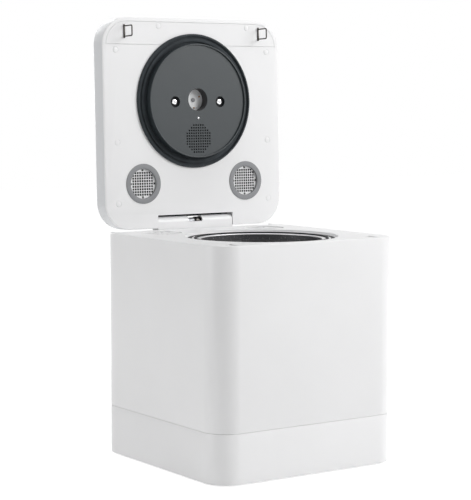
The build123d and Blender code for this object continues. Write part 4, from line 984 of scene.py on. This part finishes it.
@dataclass
class Lid:
    """Outer shell, inner panel, cover strip, caps and touch window."""

    half: float = 145 * MM
    length: float = 290 * MM
    thickness: float = 26.8 * MM
    corner: float = 37.6 * MM
    corner_steps: int = 22
    wall: float = 2.5 * MM
    panel_gap: float = 0.2 * MM
    outer_edge: float = 3.0 * MM
    inner_edge: float = 0.8 * MM
    notch_half: float = 62.3 * MM
    notch_depth: float = 18.1 * MM
    notch_wall: float = 2 * MM
    notch_back: float = 1 * MM
    slit_gap: float = 0.3 * MM
    slit_drop: float = 3.5 * MM
    slit_low: float = 7.5 * MM
    slit_high: float = 5.0 * MM
    disc_s: float = 176 * MM
    disc_hole: float = 81.5 * MM
    port_x: float = 85 * MM
    port_s: float = 62.6 * MM
    port_hole: float = 24 * MM
    strip_start: float = 253.3 * MM
    strip_inset: float = 5 * MM
    strip_gap: float = 0.35 * MM
    cap: float = 4 * MM
    cap_gap: float = 0.15 * MM
    cap_wall: float = 0.8 * MM
    cap_proud: float = 0.1 * MM
    cap_x: float = 125 * MM
    cap_rows: Point = (246 * MM, 120 * MM, 36 * MM)
    strip_caps: tuple[Spot, Spot] = ((-56 * MM, 279.2 * MM), (91.5 * MM, 279.2 * MM))
    window: Spot = (84 * MM, 21 * MM)
    window_s: float = 254 * MM
    window_corner: float = 8 * MM
    window_wall: float = 1.4 * MM
    window_gap: float = 0.2 * MM

    @property
    def caps(self) -> list[Spot]:
        """Places of the panel's caps."""
        return [spot for row in self.cap_rows for spot in mirrored(self.cap_x, row)]

    def plate(self, low: float, high: float, inset: float = 0.0) -> Workpiece:
        """Plate with the lid's outline.

        Args:
            low: Its back, along the lid's z.
            high: Its front.
            inset: Distance in from the outline.

        Returns:
            The plate, in the lid's directions.
        """
        half, far = self.half - inset, self.length - inset
        return Workpiece.block(
            (-half, inset, low), (half, far, high), self.corner - inset, self.corner_steps
        )

    def disc_drum(self) -> Workpiece:
        """Drum through the lid at the disc."""
        return Workpiece.drum(self.disc_hole, -THROUGH, THROUGH, 128).shift(y=self.disc_s)

    def notch(self) -> Workpiece:
        """Room for the hinge at the rear edge."""
        half = self.notch_half
        return Workpiece.block((-half, -REACH, -THROUGH), (half, self.notch_depth, THROUGH))

    def cap_seats(self, places: Iterable[Spot]) -> Workpiece:
        """Recesses for the caps at some places."""
        return Workpiece.drum(self.cap + self.cap_gap, -self.cap_wall, REACH, 32).array(places)

    def window_slab(self, gap: float, low: float) -> Workpiece:
        """Slab with the touch window's outline.

        Args:
            gap: Distance in from the recess's wall.
            low: Its outer face, along the lid's z.

        Returns:
            The slab, in the lid's directions.
        """
        across, along = self.window
        high, corner = -self.thickness + self.window_wall, self.window_corner - gap
        return Workpiece.slab(across - gap, along - gap, low, high, corner).shift(y=self.window_s)

    def build(self) -> None:
        """Builds the lid's mouldings."""
        self.shell()
        self.panel()
        self.strip()
        self.screw_caps()
        self.slit_shade_strip()
        glass = self.window_slab(self.window_gap, -self.thickness).place(LID)
        glass.deliver("touch_glass", "lid", PALETTE.glass, "touch_black", "touch_window", soften=0.3 * MM)
        dress(PALETTE.lid, "lid_hinge_blocks")
        dress(PALETTE.duct, "lid_duct")
        dress(PALETTE.board, "control_board")

    def shell(self) -> None:
        """Hollow outer shell with the notch's walls and the window's recess."""
        back, front = -self.thickness, -self.wall - self.panel_gap
        shell = self.plate(back, front)
        shell.round_where(self.outer_edge, 6, below(back))
        shell.combine(self.plate(back + self.wall, REACH, self.wall))
        side = self.notch_half + self.notch_wall
        walls = Workpiece.block(
            (-side, self.wall / 2, back + self.notch_back), (side, self.notch_depth + self.notch_wall, front)
        )
        shell.combine(walls, Cut.JOIN).combine(self.notch())
        shell.combine(self.window_slab(0.0, back - REACH))
        shell.place(LID).deliver(
            "lid_outer_moulding", "lid", PALETTE.lid, "lid_white", "lid_outer_shell", soften=0.25 * MM
        )

    def panel(self) -> None:
        """Inner panel with holes for the disc and ports and a rebate for the strip."""
        panel = self.plate(-self.wall, 0)
        panel.round_where(self.inner_edge, 4, above(0))
        panel.combine(self.disc_drum())
        ports = Workpiece.drum(self.port_hole, -REACH, REACH, 72)
        panel.combine(ports.array(mirrored(self.port_x, self.port_s)))
        panel.combine(self.notch())
        panel.combine(self.strip_solid(0.0, -self.wall / 2, REACH))
        panel.combine(self.cap_seats(self.caps))
        panel.place(LID).deliver(
            "lid_inner_moulding", "lid", PALETTE.panel, "panel_white", "lid_inner_panel", soften=0.2 * MM
        )

    def strip_solid(self, shrink: float, low: float, high: float) -> Workpiece:
        """Solid with the outline of the cover strip.

        Args:
            shrink: Distance in from the rebate's edge.
            low: Its back.
            high: Its front.

        Returns:
            The solid.
        """
        strip = self.plate(low, high, self.strip_inset + shrink)
        start, side = self.strip_start + shrink, 4 * THROUGH
        strip.combine(Workpiece.block((-side, -2 * THROUGH, -THROUGH), (side, start, THROUGH)))
        return strip.combine(self.disc_drum())

    def strip(self) -> None:
        """Cover strip across the front of the lid."""
        strip = self.strip_solid(self.strip_gap, -self.wall / 2, 0)
        strip.combine(self.cap_seats(self.strip_caps))
        strip.place(LID).deliver(
            "lid_front_strip", "lid", PALETTE.panel, "lid_white", "lid_cover_strip", soften=0.3 * MM
        )

    def screw_caps(self) -> None:
        """Push-in caps with a rounded rim."""
        cap = Workpiece.drum(self.cap, -self.cap_wall, self.cap_proud, 32)
        cap.round_where(0.4 * MM, 3, above(self.cap_proud))
        caps = cap.array([*self.caps, *self.strip_caps]).place(LID)
        caps.deliver("lid_push_caps", "lid", PALETTE.panel, "lid_white", "lid_screw_caps")

    def slit_shade_strip(self) -> None:
        """Dark strip on the notch's wall, painted shade that darkens the slit behind the hinge's barrel."""
        axis = LID.inverted() @ Vector((0, Hinge.y, Hinge.z))
        half, wall = self.notch_half - self.slit_gap, self.notch_depth
        strip = Workpiece.block(
            (-half, wall - self.slit_drop, axis.z - self.slit_low), (half, wall, axis.z - self.slit_high)
        )
        # Black strip as painted shade in the slit between the barrel and the notch.
        strip.place(LID).deliver("hinge_slit_painted_shade", "lid", PALETTE.rubber, "black_rubber", soften=0.3 * MM)


@dataclass
class Disc:
    """Dark disc with its seal, screws, lamp board, sensor and grille."""

    centre_s: float = 176 * MM
    edge: float = 79 * MM
    lip: float = 12.8 * MM
    sink: float = 2.4 * MM
    rim: float = 1.6 * MM
    back: float = -2.5 * MM
    clear: float = 30 * MM
    seal_outer: float = 93.2 * MM
    seal_groove: float = 90 * MM
    seal_lip: float = 86.9 * MM
    seal_collar: float = 3.4 * MM
    lamp: float = 15.8 * MM
    lamp_s: float = 1.5 * MM
    board: float = 17.8 * MM
    board_wall: float = 1.6 * MM
    chip: float = 2.9 * MM
    chip_height: float = 1.3 * MM
    resistor: Spot = (1.1 * MM, 0.9 * MM)
    resistors: tuple[Spot, ...] = ((10 * MM, 4.5 * MM), (1 * MM, -11 * MM), (-9 * MM, 8 * MM))
    sleeve: float = 0.9 * MM
    rib: float = 0.5 * MM
    rib_pitch: float = 3.1 * MM
    screw_x: float = 37.2 * MM
    screw_s: float = -1.3 * MM
    screw_head: float = 4.4 * MM
    screw_shank: float = 2 * MM
    screw_length: float = 14.5 * MM
    screw_sink: float = 1.2 * MM
    cross: Spot = (2.3 * MM, 0.5 * MM)
    cross_depth: float = 1.6 * MM
    counterbore: float = 7.6 * MM
    counterbore_depth: float = 6.5 * MM
    grille_s: float = -52.5 * MM
    grille_radius: float = 20.8 * MM
    pitch: float = 3.75 * MM
    hole: float = 2.2 * MM
    sensor: float = 1.5 * MM
    sensor_s: float = -24 * MM

    @property
    def face(self) -> float:
        """Height of the disc's face over the lid's."""
        return self.lip - self.sink

    def seat(self, piece: Workpiece, s: float = 0.0) -> Workpiece:
        """Moves a piece from a point on the disc's middle line to its place in the row frame."""
        return piece.shift(y=s).shift(y=self.centre_s).place(LID)

    def build(self) -> None:
        """Builds the disc and what it carries."""
        self.face_plate()
        self.seal()
        self.screws()
        self.lamp_board()
        self.lamp_sleeve()
        self.steam_probe()

    def face_plate(self) -> None:
        """Recessed face with the lip, counterbores, lamp hole and grille."""
        inner, clear, half = self.edge - self.rim, self.clear, self.hole / 2
        plate = Workpiece.lathe(
            [(0, self.back), (self.edge, self.back), (self.edge, self.lip), (inner, self.lip),
             (inner, self.face), (0, self.face)]
        )
        plate.round_where(0.55 * MM, 4, above(self.lip))
        plate.combine(Workpiece.drum(self.lamp, -clear, clear, 72).shift(y=self.lamp_s))
        bore = Workpiece.drum(self.counterbore, self.face - self.counterbore_depth, clear, 48)
        plate.combine(bore.array(mirrored(self.screw_x, self.screw_s)))
        plate.combine(Workpiece.drum(self.sensor + 0.1 * MM, -clear, clear, 24).shift(y=self.sensor_s))
        cell = Workpiece.slab(half, half, -clear, clear)
        grille = cell.array(grid_places(self.pitch, 11, self.grille_radius))
        plate.combine(grille.shift(y=self.grille_s))
        self.seat(plate).deliver(
            "disc_face_plate", "lid", PALETTE.disc, "disc_graphite", "lid_disc", soften=0.25 * MM
        )

    def seal(self) -> None:
        """Silicone ring: two lips and the groove that meets the gasket."""
        inner, collar, foot = self.edge + 0.1 * MM, self.edge + self.seal_collar, 1 * MM
        outer, groove, lip = self.seal_outer, self.seal_groove, self.seal_lip
        ring = Workpiece.lathe(
            [(inner, 0), (outer, 0), (outer, 2.2 * MM), (outer - 1.2 * MM, 3.4 * MM), (groove, 3.4 * MM),
             (groove, foot), (lip, foot), (lip, 2.6 * MM), (lip - 0.8 * MM, 3 * MM), (collar, 3 * MM),
             (collar, foot), (inner, foot)]
        )
        ring.round_where(0.35 * MM, 3, above(2 * MM))
        self.seat(ring).deliver("disc_silicone_seal", "lid", PALETTE.seal, "black_rubber", "disc_seal")

    def screws(self) -> None:
        """Bright pan heads with a cross recess, each in a black ring that paints shade into its counterbore.
        """
        places = mirrored(self.screw_x, self.screw_s)
        seat, crown = self.face - self.counterbore_depth, self.face - self.screw_sink
        tip, shank, head = seat - self.screw_length, self.screw_shank, self.screw_head
        screw = Workpiece.lathe(
            [(0, tip), (shank, tip), (shank, seat), (head, seat), (head, crown - 1.5 * MM),
             (head - 0.5 * MM, crown - 0.7 * MM), (head - 1.5 * MM, crown - 0.2 * MM),
             (head - 2.9 * MM, crown), (0, crown)], 40
        )
        wide, thin = self.cross
        bottom = crown - self.cross_depth
        cross = Workpiece.slab(wide, thin, bottom, self.clear)
        cross.combine(Workpiece.slab(thin, wide, bottom, self.clear + 1 * MM), Cut.JOIN)
        self.seat(screw.combine(cross).array(places)).deliver(
            "disc_pan_heads", "lid", PALETTE.steel, "bright_steel", "disc_screws", crease=40
        )
        # Black ring in each counterbore: painted shade, so the recess round the head reads black.
        bore_shade = Workpiece.band(head + 0.1 * MM, self.counterbore - 0.1 * MM, seat, crown - 2.2 * MM, 40)
        self.seat(bore_shade.array(places)).deliver(
            "screw_bore_painted_shade", "lid", PALETTE.rubber, "black_rubber", soften=0.2 * MM
        )

    def lamp_board(self) -> None:
        """Round board at the bottom of the lamp hole, with its chip and resistors."""
        board = Workpiece.drum(self.board, self.back - self.board_wall, self.back)
        self.seat(board, self.lamp_s).deliver(
            "lamp_circuit", "lid", PALETTE.lamp, "lamp_board_grey", "lamp_board"
        )
        top = self.back + self.chip_height
        chip = Workpiece.drum(self.chip, self.back, top, 32).round_where(0.5 * MM, 3, above(top))
        self.seat(chip, self.lamp_s).deliver("lamp_chip", "lid", PALETTE.ring, "port_grey")
        resistor = Workpiece.slab(*self.resistor, self.back, self.back + 1 * MM)
        self.seat(resistor.array(self.resistors), self.lamp_s).deliver(
            "lamp_resistors", "lid", PALETTE.amber, "component_black", soften=0.15 * MM
        )

    def lamp_sleeve(self) -> None:
        """Dark sleeve with three grooves that lines the lamp hole."""
        groove, foot, top = self.lamp - self.sleeve, self.back + 0.05 * MM, self.face - 1 * MM
        rib = groove + self.rib
        outline = [(self.lamp, foot), (self.lamp, top), (rib, top)]
        for step in range(3):
            high = top - 1.2 * MM - self.rib_pitch * step
            outline += [
                (rib, high), (groove, high - 0.3 * MM), (groove, high - 0.9 * MM), (rib, high - 1.2 * MM)
            ]
        sleeve = Workpiece.lathe([*outline, (rib, foot)], 72)
        self.seat(sleeve, self.lamp_s).deliver("lamp_sleeve", "lid", PALETTE.black, "disc_graphite")

    def steam_probe(self) -> None:
        """Small bright pin that senses steam."""
        low, point, pin = self.face - 4 * MM, self.face + 1.6 * MM, self.sensor
        profile = [(0, low), (pin, low), (pin, point - 0.8 * MM), (0.9 * MM, point - 0.1 * MM), (0, point)]
        self.seat(Workpiece.lathe(profile, 24), self.sensor_s).deliver(
            "steam_probe", "lid", PALETTE.steel, "component_black", "steam_sensor"
        )


@dataclass
class Ports:
    """Grey rings and white meshes over the filter ports, with dark liners behind them as painted shade."""

    x: float = 85 * MM
    s: float = 62.6 * MM
    outer: float = 27.6 * MM
    inner: float = 20.5 * MM
    proud: float = 0.8 * MM
    spigot: float = 4 * MM
    spigot_wall: float = 3.2 * MM
    mesh_sink: float = 2.2 * MM
    mesh_wall: float = 0.4 * MM
    mesh_edge: float = 1.4 * MM
    pitch: float = 3.75 * MM
    hole: float = 2.75 * MM
    duct_floor: float = -24.2 * MM
    shade_liner_wall: float = 0.5 * MM
    shade_liner_gap: float = 0.2 * MM

    def pair(self, piece: Workpiece) -> Workpiece:
        """Sets a piece at both ports."""
        return piece.array(mirrored(self.x, self.s)).place(LID)

    def build(self) -> None:
        """Builds the rings, the meshes and the dark liners that paint shade behind the meshes."""
        inner, low, collar = self.inner, -self.spigot, self.inner + self.spigot_wall
        ring = Workpiece.lathe(
            [(inner, low), (collar, low), (collar, 0), (self.outer, 0), (self.outer, self.proud),
             (inner, self.proud)], 96
        )
        ring.round_where(0.3 * MM, 3, above(self.proud))
        self.pair(ring).deliver("port_trim_rings", "lid", PALETTE.ring, "port_grey", "port_rings")
        back, half = -self.mesh_sink - self.mesh_wall, self.hole / 2
        plate = Workpiece.drum(inner - 0.05 * MM, back, -self.mesh_sink, 72)
        cell = Workpiece.slab(half, half, -2 * REACH, 2 * REACH)
        plate.combine(cell.array(grid_places(self.pitch, 11, inner - self.mesh_edge)))
        self.pair(plate).deliver(
            "port_white_meshes", "lid", PALETTE.mesh, "panel_white", "port_meshes", soften=0.15 * MM
        )
        # Dark liners in the duct behind the meshes: painted shade that darkens the mesh holes.
        deep, radius, high = self.duct_floor, inner - self.shade_liner_gap, back - self.shade_liner_gap
        thin, floor = radius - self.shade_liner_wall, deep + self.shade_liner_wall
        liner = Workpiece.lathe(
            [(0, deep), (radius, deep), (radius, high), (thin, high), (thin, floor), (0, floor)], 64
        )
        self.pair(liner).deliver("duct_painted_shade_liners", "lid", PALETTE.carbon, "component_black")


@dataclass
class Latches:
    """Bent wire loops near the lid's front corners."""

    x: float = 111 * MM
    s: float = 271 * MM
    span: float = 14 * MM
    reach: float = 22 * MM
    wire: float = 0.9 * MM
    bend: float = 2.2 * MM
    start: float = 0.2 * MM
    foot_width: float = 2.2 * MM
    foot_height: float = 1.6 * MM
    foot_lap: float = 2.5 * MM

    def build(self) -> None:
        """Builds both loops on their foot bars."""
        loop, half = self.loop(), self.span / 2 + self.foot_lap
        foot = Workpiece.slab(self.foot_width / 2, half, 0, self.foot_height, 1 * MM, 5)
        foot.round_where(0.4 * MM, 3, above(self.foot_height))
        loops = loop.add(foot).array(mirrored(self.x, self.s)).place(LID)
        loops.deliver("latch_wire_loops", "lid", PALETTE.wire, "bronze_wire", "latch_loops", crease=45)

    def loop(self) -> Workpiece:
        """One wire, drawn out and bent twice.

        Returns:
            The wire, standing on the lid's face.
        """
        made = Workpiece()
        half, high = self.span / 2, self.reach - self.wire - self.bend
        bmesh.ops.create_circle(made.bm, cap_ends=True, segments=16, radius=self.wire)
        made.shift(y=-half, z=self.start)
        end = self.draw(made, list(made.bm.edges), (0, 0, high - self.start))
        end = self.bend_round(made, end, (0, self.bend - half, high))
        end = self.draw(made, end, (0, self.span - 2 * self.bend, 0))
        end = self.bend_round(made, end, (0, half - self.bend, high))
        end = self.draw(made, end, (0, 0, self.start - high))
        bmesh.ops.contextual_create(made.bm, geom=end)
        bmesh.ops.recalc_face_normals(made.bm, faces=made.bm.faces)
        return made

    @staticmethod
    def draw(made: Workpiece, end: list, run: Point) -> list:
        """Draws the wire's end straight out.

        Args:
            made: The wire.
            end: Edges of its open end.
            run: How far and which way.

        Returns:
            Edges of the new end.
        """
        grown = bmesh.ops.extrude_edge_only(made.bm, edges=end)["geom"]
        verts = [item for item in grown if isinstance(item, bmesh.types.BMVert)]
        bmesh.ops.translate(made.bm, vec=run, verts=verts)
        return [item for item in grown if isinstance(item, bmesh.types.BMEdge)]

    @staticmethod
    def bend_round(made: Workpiece, end: list, centre: Point) -> list:
        """Bends the wire's end a quarter turn about a point and returns the new end's edges."""
        bent = bmesh.ops.spin(made.bm, geom=end, cent=centre, axis=(-1, 0, 0), angle=QUARTER_TURN, steps=6)
        return [item for item in bent["geom_last"] if isinstance(item, bmesh.types.BMEdge)]


@dataclass
class Hinge:
    """Fixed barrel with a window on the pin and the spring, and the pin's knuckle."""

    y: float = 137.1 * MM
    z: float = 313.6 * MM
    barrel: float = 7.8 * MM
    half_width: float = 61.8 * MM
    wall: float = 1.6 * MM
    bearing: float = 8 * MM
    window_half: float = 11.3 * MM
    foot_z: float = 301.3 * MM
    pin: float = 3.0 * MM
    pin_gap: float = 0.05 * MM
    pin_half: float = 74 * MM
    collar: float = 5.9 * MM
    collar_ends: Spot = (1.5 * MM, 7.5 * MM)
    wire: float = 0.75 * MM
    turns: int = 6

    def lie(self, piece: Workpiece) -> Workpiece:
        """Lays an upright turned piece along the hinge's axis."""
        turn = Matrix.Rotation(QUARTER_TURN, 4, "Y")
        return piece.place(Matrix.Translation((0, self.y, self.z)) @ turn)

    def build(self) -> None:
        """Builds the cover, the spring and the pin."""
        half, view, far = self.half_width, self.window_half, 2 * THROUGH
        cover = self.lie(Workpiece.drum(self.barrel, -half, half))
        stand = Workpiece.block(
            (-half, self.y - self.barrel, self.foot_z), (half, self.y + self.barrel, self.z)
        )
        cover.combine(stand, Cut.JOIN)
        bore = half - self.bearing
        cover.combine(self.lie(Workpiece.drum(self.barrel - self.wall, -bore, bore)))
        cover.combine(self.lie(Workpiece.drum(self.pin + self.pin_gap, -far, far, 40)))
        cover.combine(Workpiece.block((-view, far, self.z), (view, 2 * far, self.z + THROUGH)))
        cover.deliver(
            "hinge_barrel_cover", "housing", PALETTE.body, "lid_white", "hinge_cover", soften=0.25 * MM
        )
        self.spring()
        pin = self.lie(Workpiece.drum(self.pin, -self.pin_half, self.pin_half, 40)).round_where(0.4 * MM)
        collar = self.lie(Workpiece.drum(self.collar, *self.collar_ends, 48)).round_where(0.6 * MM)
        pin.combine(collar, Cut.JOIN)
        pin.deliver("hinge_steel_pin", "lid", PALETTE.wire, "bright_steel", "hinge_pin")

    def spring(self) -> None:
        """Coil of round wire beside the knuckle."""
        low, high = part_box("hinge_spring")
        radius, rise = (high.z - low.z) / 2 - self.wire, high.x - low.x - 2 * self.wire
        steps = 24 * self.turns
        coil = Workpiece()
        bmesh.ops.create_circle(coil.bm, cap_ends=False, segments=12, radius=self.wire)
        coil.place(Matrix.Rotation(QUARTER_TURN, 4, "X")).shift(x=radius)
        bmesh.ops.spin(
            coil.bm, geom=list(coil.bm.edges), cent=(0, 0, 0), axis=(0, 0, 1), dvec=(0, 0, rise / steps),
            angle=FULL_TURN * self.turns, steps=steps,
        )
        bmesh.ops.holes_fill(coil.bm, edges=coil.bm.edges, sides=0)
        bmesh.ops.recalc_face_normals(coil.bm, faces=coil.bm.faces)
        self.lie(coil.shift(z=low.x + self.wire)).deliver(
            "hinge_coil", "housing", PALETTE.zinc, "zinc_steel", "hinge_spring", crease=60
        )


# ----------------------------------------------------------------------
# Filters, rear and inner works
# ----------------------------------------------------------------------


@dataclass
class Filters:
    """Carbon canisters under the deck ports."""

    radius: float = 27 * MM
    cap: float = 2 * MM
    edge: float = 1.2 * MM
    slots: int = 12
    slot_ends: Spot = (10.5 * MM, 21.5 * MM)
    slot_half: float = 1.5 * MM
    bed: float = 22.5 * MM
    bed_depths: Spot = (2.6 * MM, 1.95 * MM)

    def build(self) -> None:
        """Builds both canisters."""
        near, far = self.slot_ends
        turns = [FULL_TURN * step / self.slots for step in range(self.slots)]
        for side in ("filter_left", "filter_right"):
            low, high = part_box(side)
            centre, top = (low + high) / 2, high.z
            cup = Workpiece.drum(self.radius, low.z, top, 72).round_where(self.edge, 4, above(top))
            slot = Workpiece.block(
                (near, -self.slot_half, top - self.cap), (far, self.slot_half, top + REACH), 1.4 * MM, 4
            )
            cup.combine(slot.repeat(Matrix.Rotation(turn, 4, "Z") for turn in turns))
            cup.shift(centre.x, centre.y).deliver(
                f"{side}_cup", side, PALETTE.cup, "filter_white", side, soften=0.2 * MM
            )
            bed = Workpiece.drum(self.bed, *(top - depth for depth in self.bed_depths), 48)
            bed.shift(centre.x, centre.y).deliver(f"{side}_carbon", side, PALETTE.carbon, "component_black")


@dataclass
class Rear:
    """Rear grille and power inlet."""

    edge: float = 0.3 * MM

    def build(self) -> None:
        """Softens the edges of the fan's grille and of the inlet."""
        for node, name, finish in (
            ("rear_grille", "fan_outlet_grille", PALETTE.body), ("power_inlet", "mains_inlet", PALETTE.black)
        ):
            Workpiece.copy_of(node).deliver(name, "housing", finish, "fan_black", node, soften=self.edge)


@dataclass
class Lock:
    """Return spring of the lid lock."""

    stroke: float = 6 * MM

    def build(self) -> None:
        """Replaces the return spring with a merged copy that has its own mesh."""
        spring = Workpiece.copy_of("lock_spring").deliver(
            "lock_return_spring", "housing", PALETTE.zinc, "zinc_steel", "lock_spring", crease=60
        )
        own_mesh(spring)


class Works:
    """Nodes inside the shells, which keep their own shape."""

    def build(self) -> None:
        """Gives the inner nodes their finishes."""
        dress(PALETTE.foil, "heater_band")
        dress(PALETTE.felt, "insulation_sleeve")
        dress(PALETTE.zinc, "base_screws", "chassis_screws", "hinge_screws", "chassis_plate")
        dress(PALETTE.black, "gearbox_case", "gearbox_cover", "fan_frame", "fan_rotor", "lock_bar")
        dress(PALETTE.bronze, "shaft_bush")
        dress(PALETTE.rubber, "shaft_seal")
        dress(PALETTE.can, "drive_motor", "lock_solenoid")
        dress(PALETTE.duct, "filter_wells", "air_duct")
        dress(PALETTE.board, "main_board")
        dress(PALETTE.chip, "board_components")
        dress(PALETTE.acetal, "board_standoffs", "lock_guides", "idler_gear")
        dress(PALETTE.sinter, "output_gear", "motor_pinion")
        dress(PALETTE.steel, "drive_shaft")


# ----------------------------------------------------------------------
# Studio
# ----------------------------------------------------------------------


@dataclass(frozen=True)
class SoftBox:
    """A large lamp.

    Attributes:
        name: Its name.
        place: Where it stands.
        power: Its power in watts.
        size: Its side in metres.
    """

    name: str
    place: Point
    power: float
    size: float = 1.6

    def build(self) -> None:
        """Hangs the lamp, turned to the machine."""
        data = bpy.data.lights.new(self.name, "AREA")
        data.shape = "SQUARE"
        data.size = self.size
        data.energy = self.power
        lamp = bpy.data.objects.new(self.name, data)
        lamp.location = self.place
        aim = Vector((0, 0, 0.25)) - Vector(self.place)
        lamp.rotation_euler = aim.to_track_quat("-Z", "Y").to_euler()
        bpy.context.scene.collection.objects.link(lamp)


@dataclass
class Studio:
    """White floor, lamps, world and camera."""

    world_level: float = 0.335
    camera_place: Point = (-1.2996, -1.8785, 0.4904)
    camera_down: float = 5.20
    camera_turn: float = -34.25
    lens: float = 122.7
    floor_half: float = 6.0
    floor_lift: float = 0.78
    floor_white: tuple[float, float, float, float] = (0.88, 0.88, 0.88, 1)
    lamps: tuple[SoftBox, ...] = (
        SoftBox("key_right", (2.0, -2.0, 1.75), 65.0),
        SoftBox("fill_left", (-2.8, 0.6, 1.0), 22.0),
        SoftBox("top", (-0.2, -0.4, 3.0), 19.0),
        SoftBox("back", (0.3, 3.0, 1.1), 26.0),
    )

    def build(self) -> None:
        """Builds the studio."""
        for lamp in self.lamps:
            lamp.build()
        self.floor()
        self.world()
        self.camera()

    def floor(self) -> None:
        """White floor that keeps the machine's shadow."""
        plate = Workpiece()
        bmesh.ops.create_grid(plate.bm, x_segments=1, y_segments=1, size=self.floor_half)
        floor = plate.as_object("studio_floor")
        material = bpy.data.materials.new("studio_white")
        material.use_nodes = True
        nodes = Nodes(material.node_tree)
        lift = nodes.add("Math", {0: self.seen_directly(nodes), 1: self.floor_lift}, operation="MULTIPLY")
        white = nodes.add("BsdfDiffuse", {"Color": self.floor_white})
        glow = nodes.add("Emission", {"Strength": lift.outputs[0]})
        both = nodes.add("AddShader", {0: white.outputs[0], 1: glow.outputs[0]})
        nodes.add("OutputMaterial", {"Surface": both.outputs[0]})
        floor.data.materials.append(material)

    def seen_directly(self, nodes: Nodes) -> Socket:
        """Adds nodes that give 1 to camera, mirror and glass rays.

        Args:
            nodes: The tree to add them to.

        Returns:
            Their output, 0 for all other rays.
        """
        rays = nodes.add("LightPath")
        total = rays.outputs["Is Camera Ray"]
        for kind in ("Is Glossy Ray", "Is Transmission Ray"):
            total = nodes.add("Math", {0: total, 1: rays.outputs[kind]}, operation="MAXIMUM").outputs[0]
        return total

    def world(self) -> None:
        """Even light, white where the camera or a mirror looks into it."""
        world = bpy.data.worlds.new("studio_world")
        bpy.context.scene.world = world
        world.use_nodes = True
        nodes = Nodes(world.node_tree)
        light = nodes.add("Background", {"Strength": self.world_level})
        white = nodes.add("Background", {"Color": (1, 1, 1, 1)})
        inputs = {"Fac": self.seen_directly(nodes), 1: light.outputs[0], 2: white.outputs[0]}
        nodes.add("OutputWorld", {"Surface": nodes.add("MixShader", inputs).outputs[0]})

    def camera(self) -> None:
        """Camera at the level of the lid, to the machine's left front."""
        data = bpy.data.cameras.new("studio_camera")
        data.lens = self.lens
        data.clip_start = 0.05
        data.clip_end = 50.0
        camera = bpy.data.objects.new("studio_camera", data)
        camera.location = self.camera_place
        camera.rotation_euler = (math.radians(90 - self.camera_down), 0, math.radians(self.camera_turn))
        bpy.context.scene.collection.objects.link(camera)
        bpy.context.scene.camera = camera


def main() -> None:
    """Builds the machine and its studio."""
    logging.basicConfig(level=logging.INFO, format="%(name)s: %(message)s")
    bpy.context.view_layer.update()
    bpy.context.scene.view_settings.view_transform = "Standard"
    Studio().build()
    for assembly in (Body, Mouth, Lid, Disc, Ports, Latches, Hinge, Filters, Rear, Lock, Works):
        assembly().build()
        log.info("%s done", assembly.__name__)


if __name__ == "__main__":
    main()
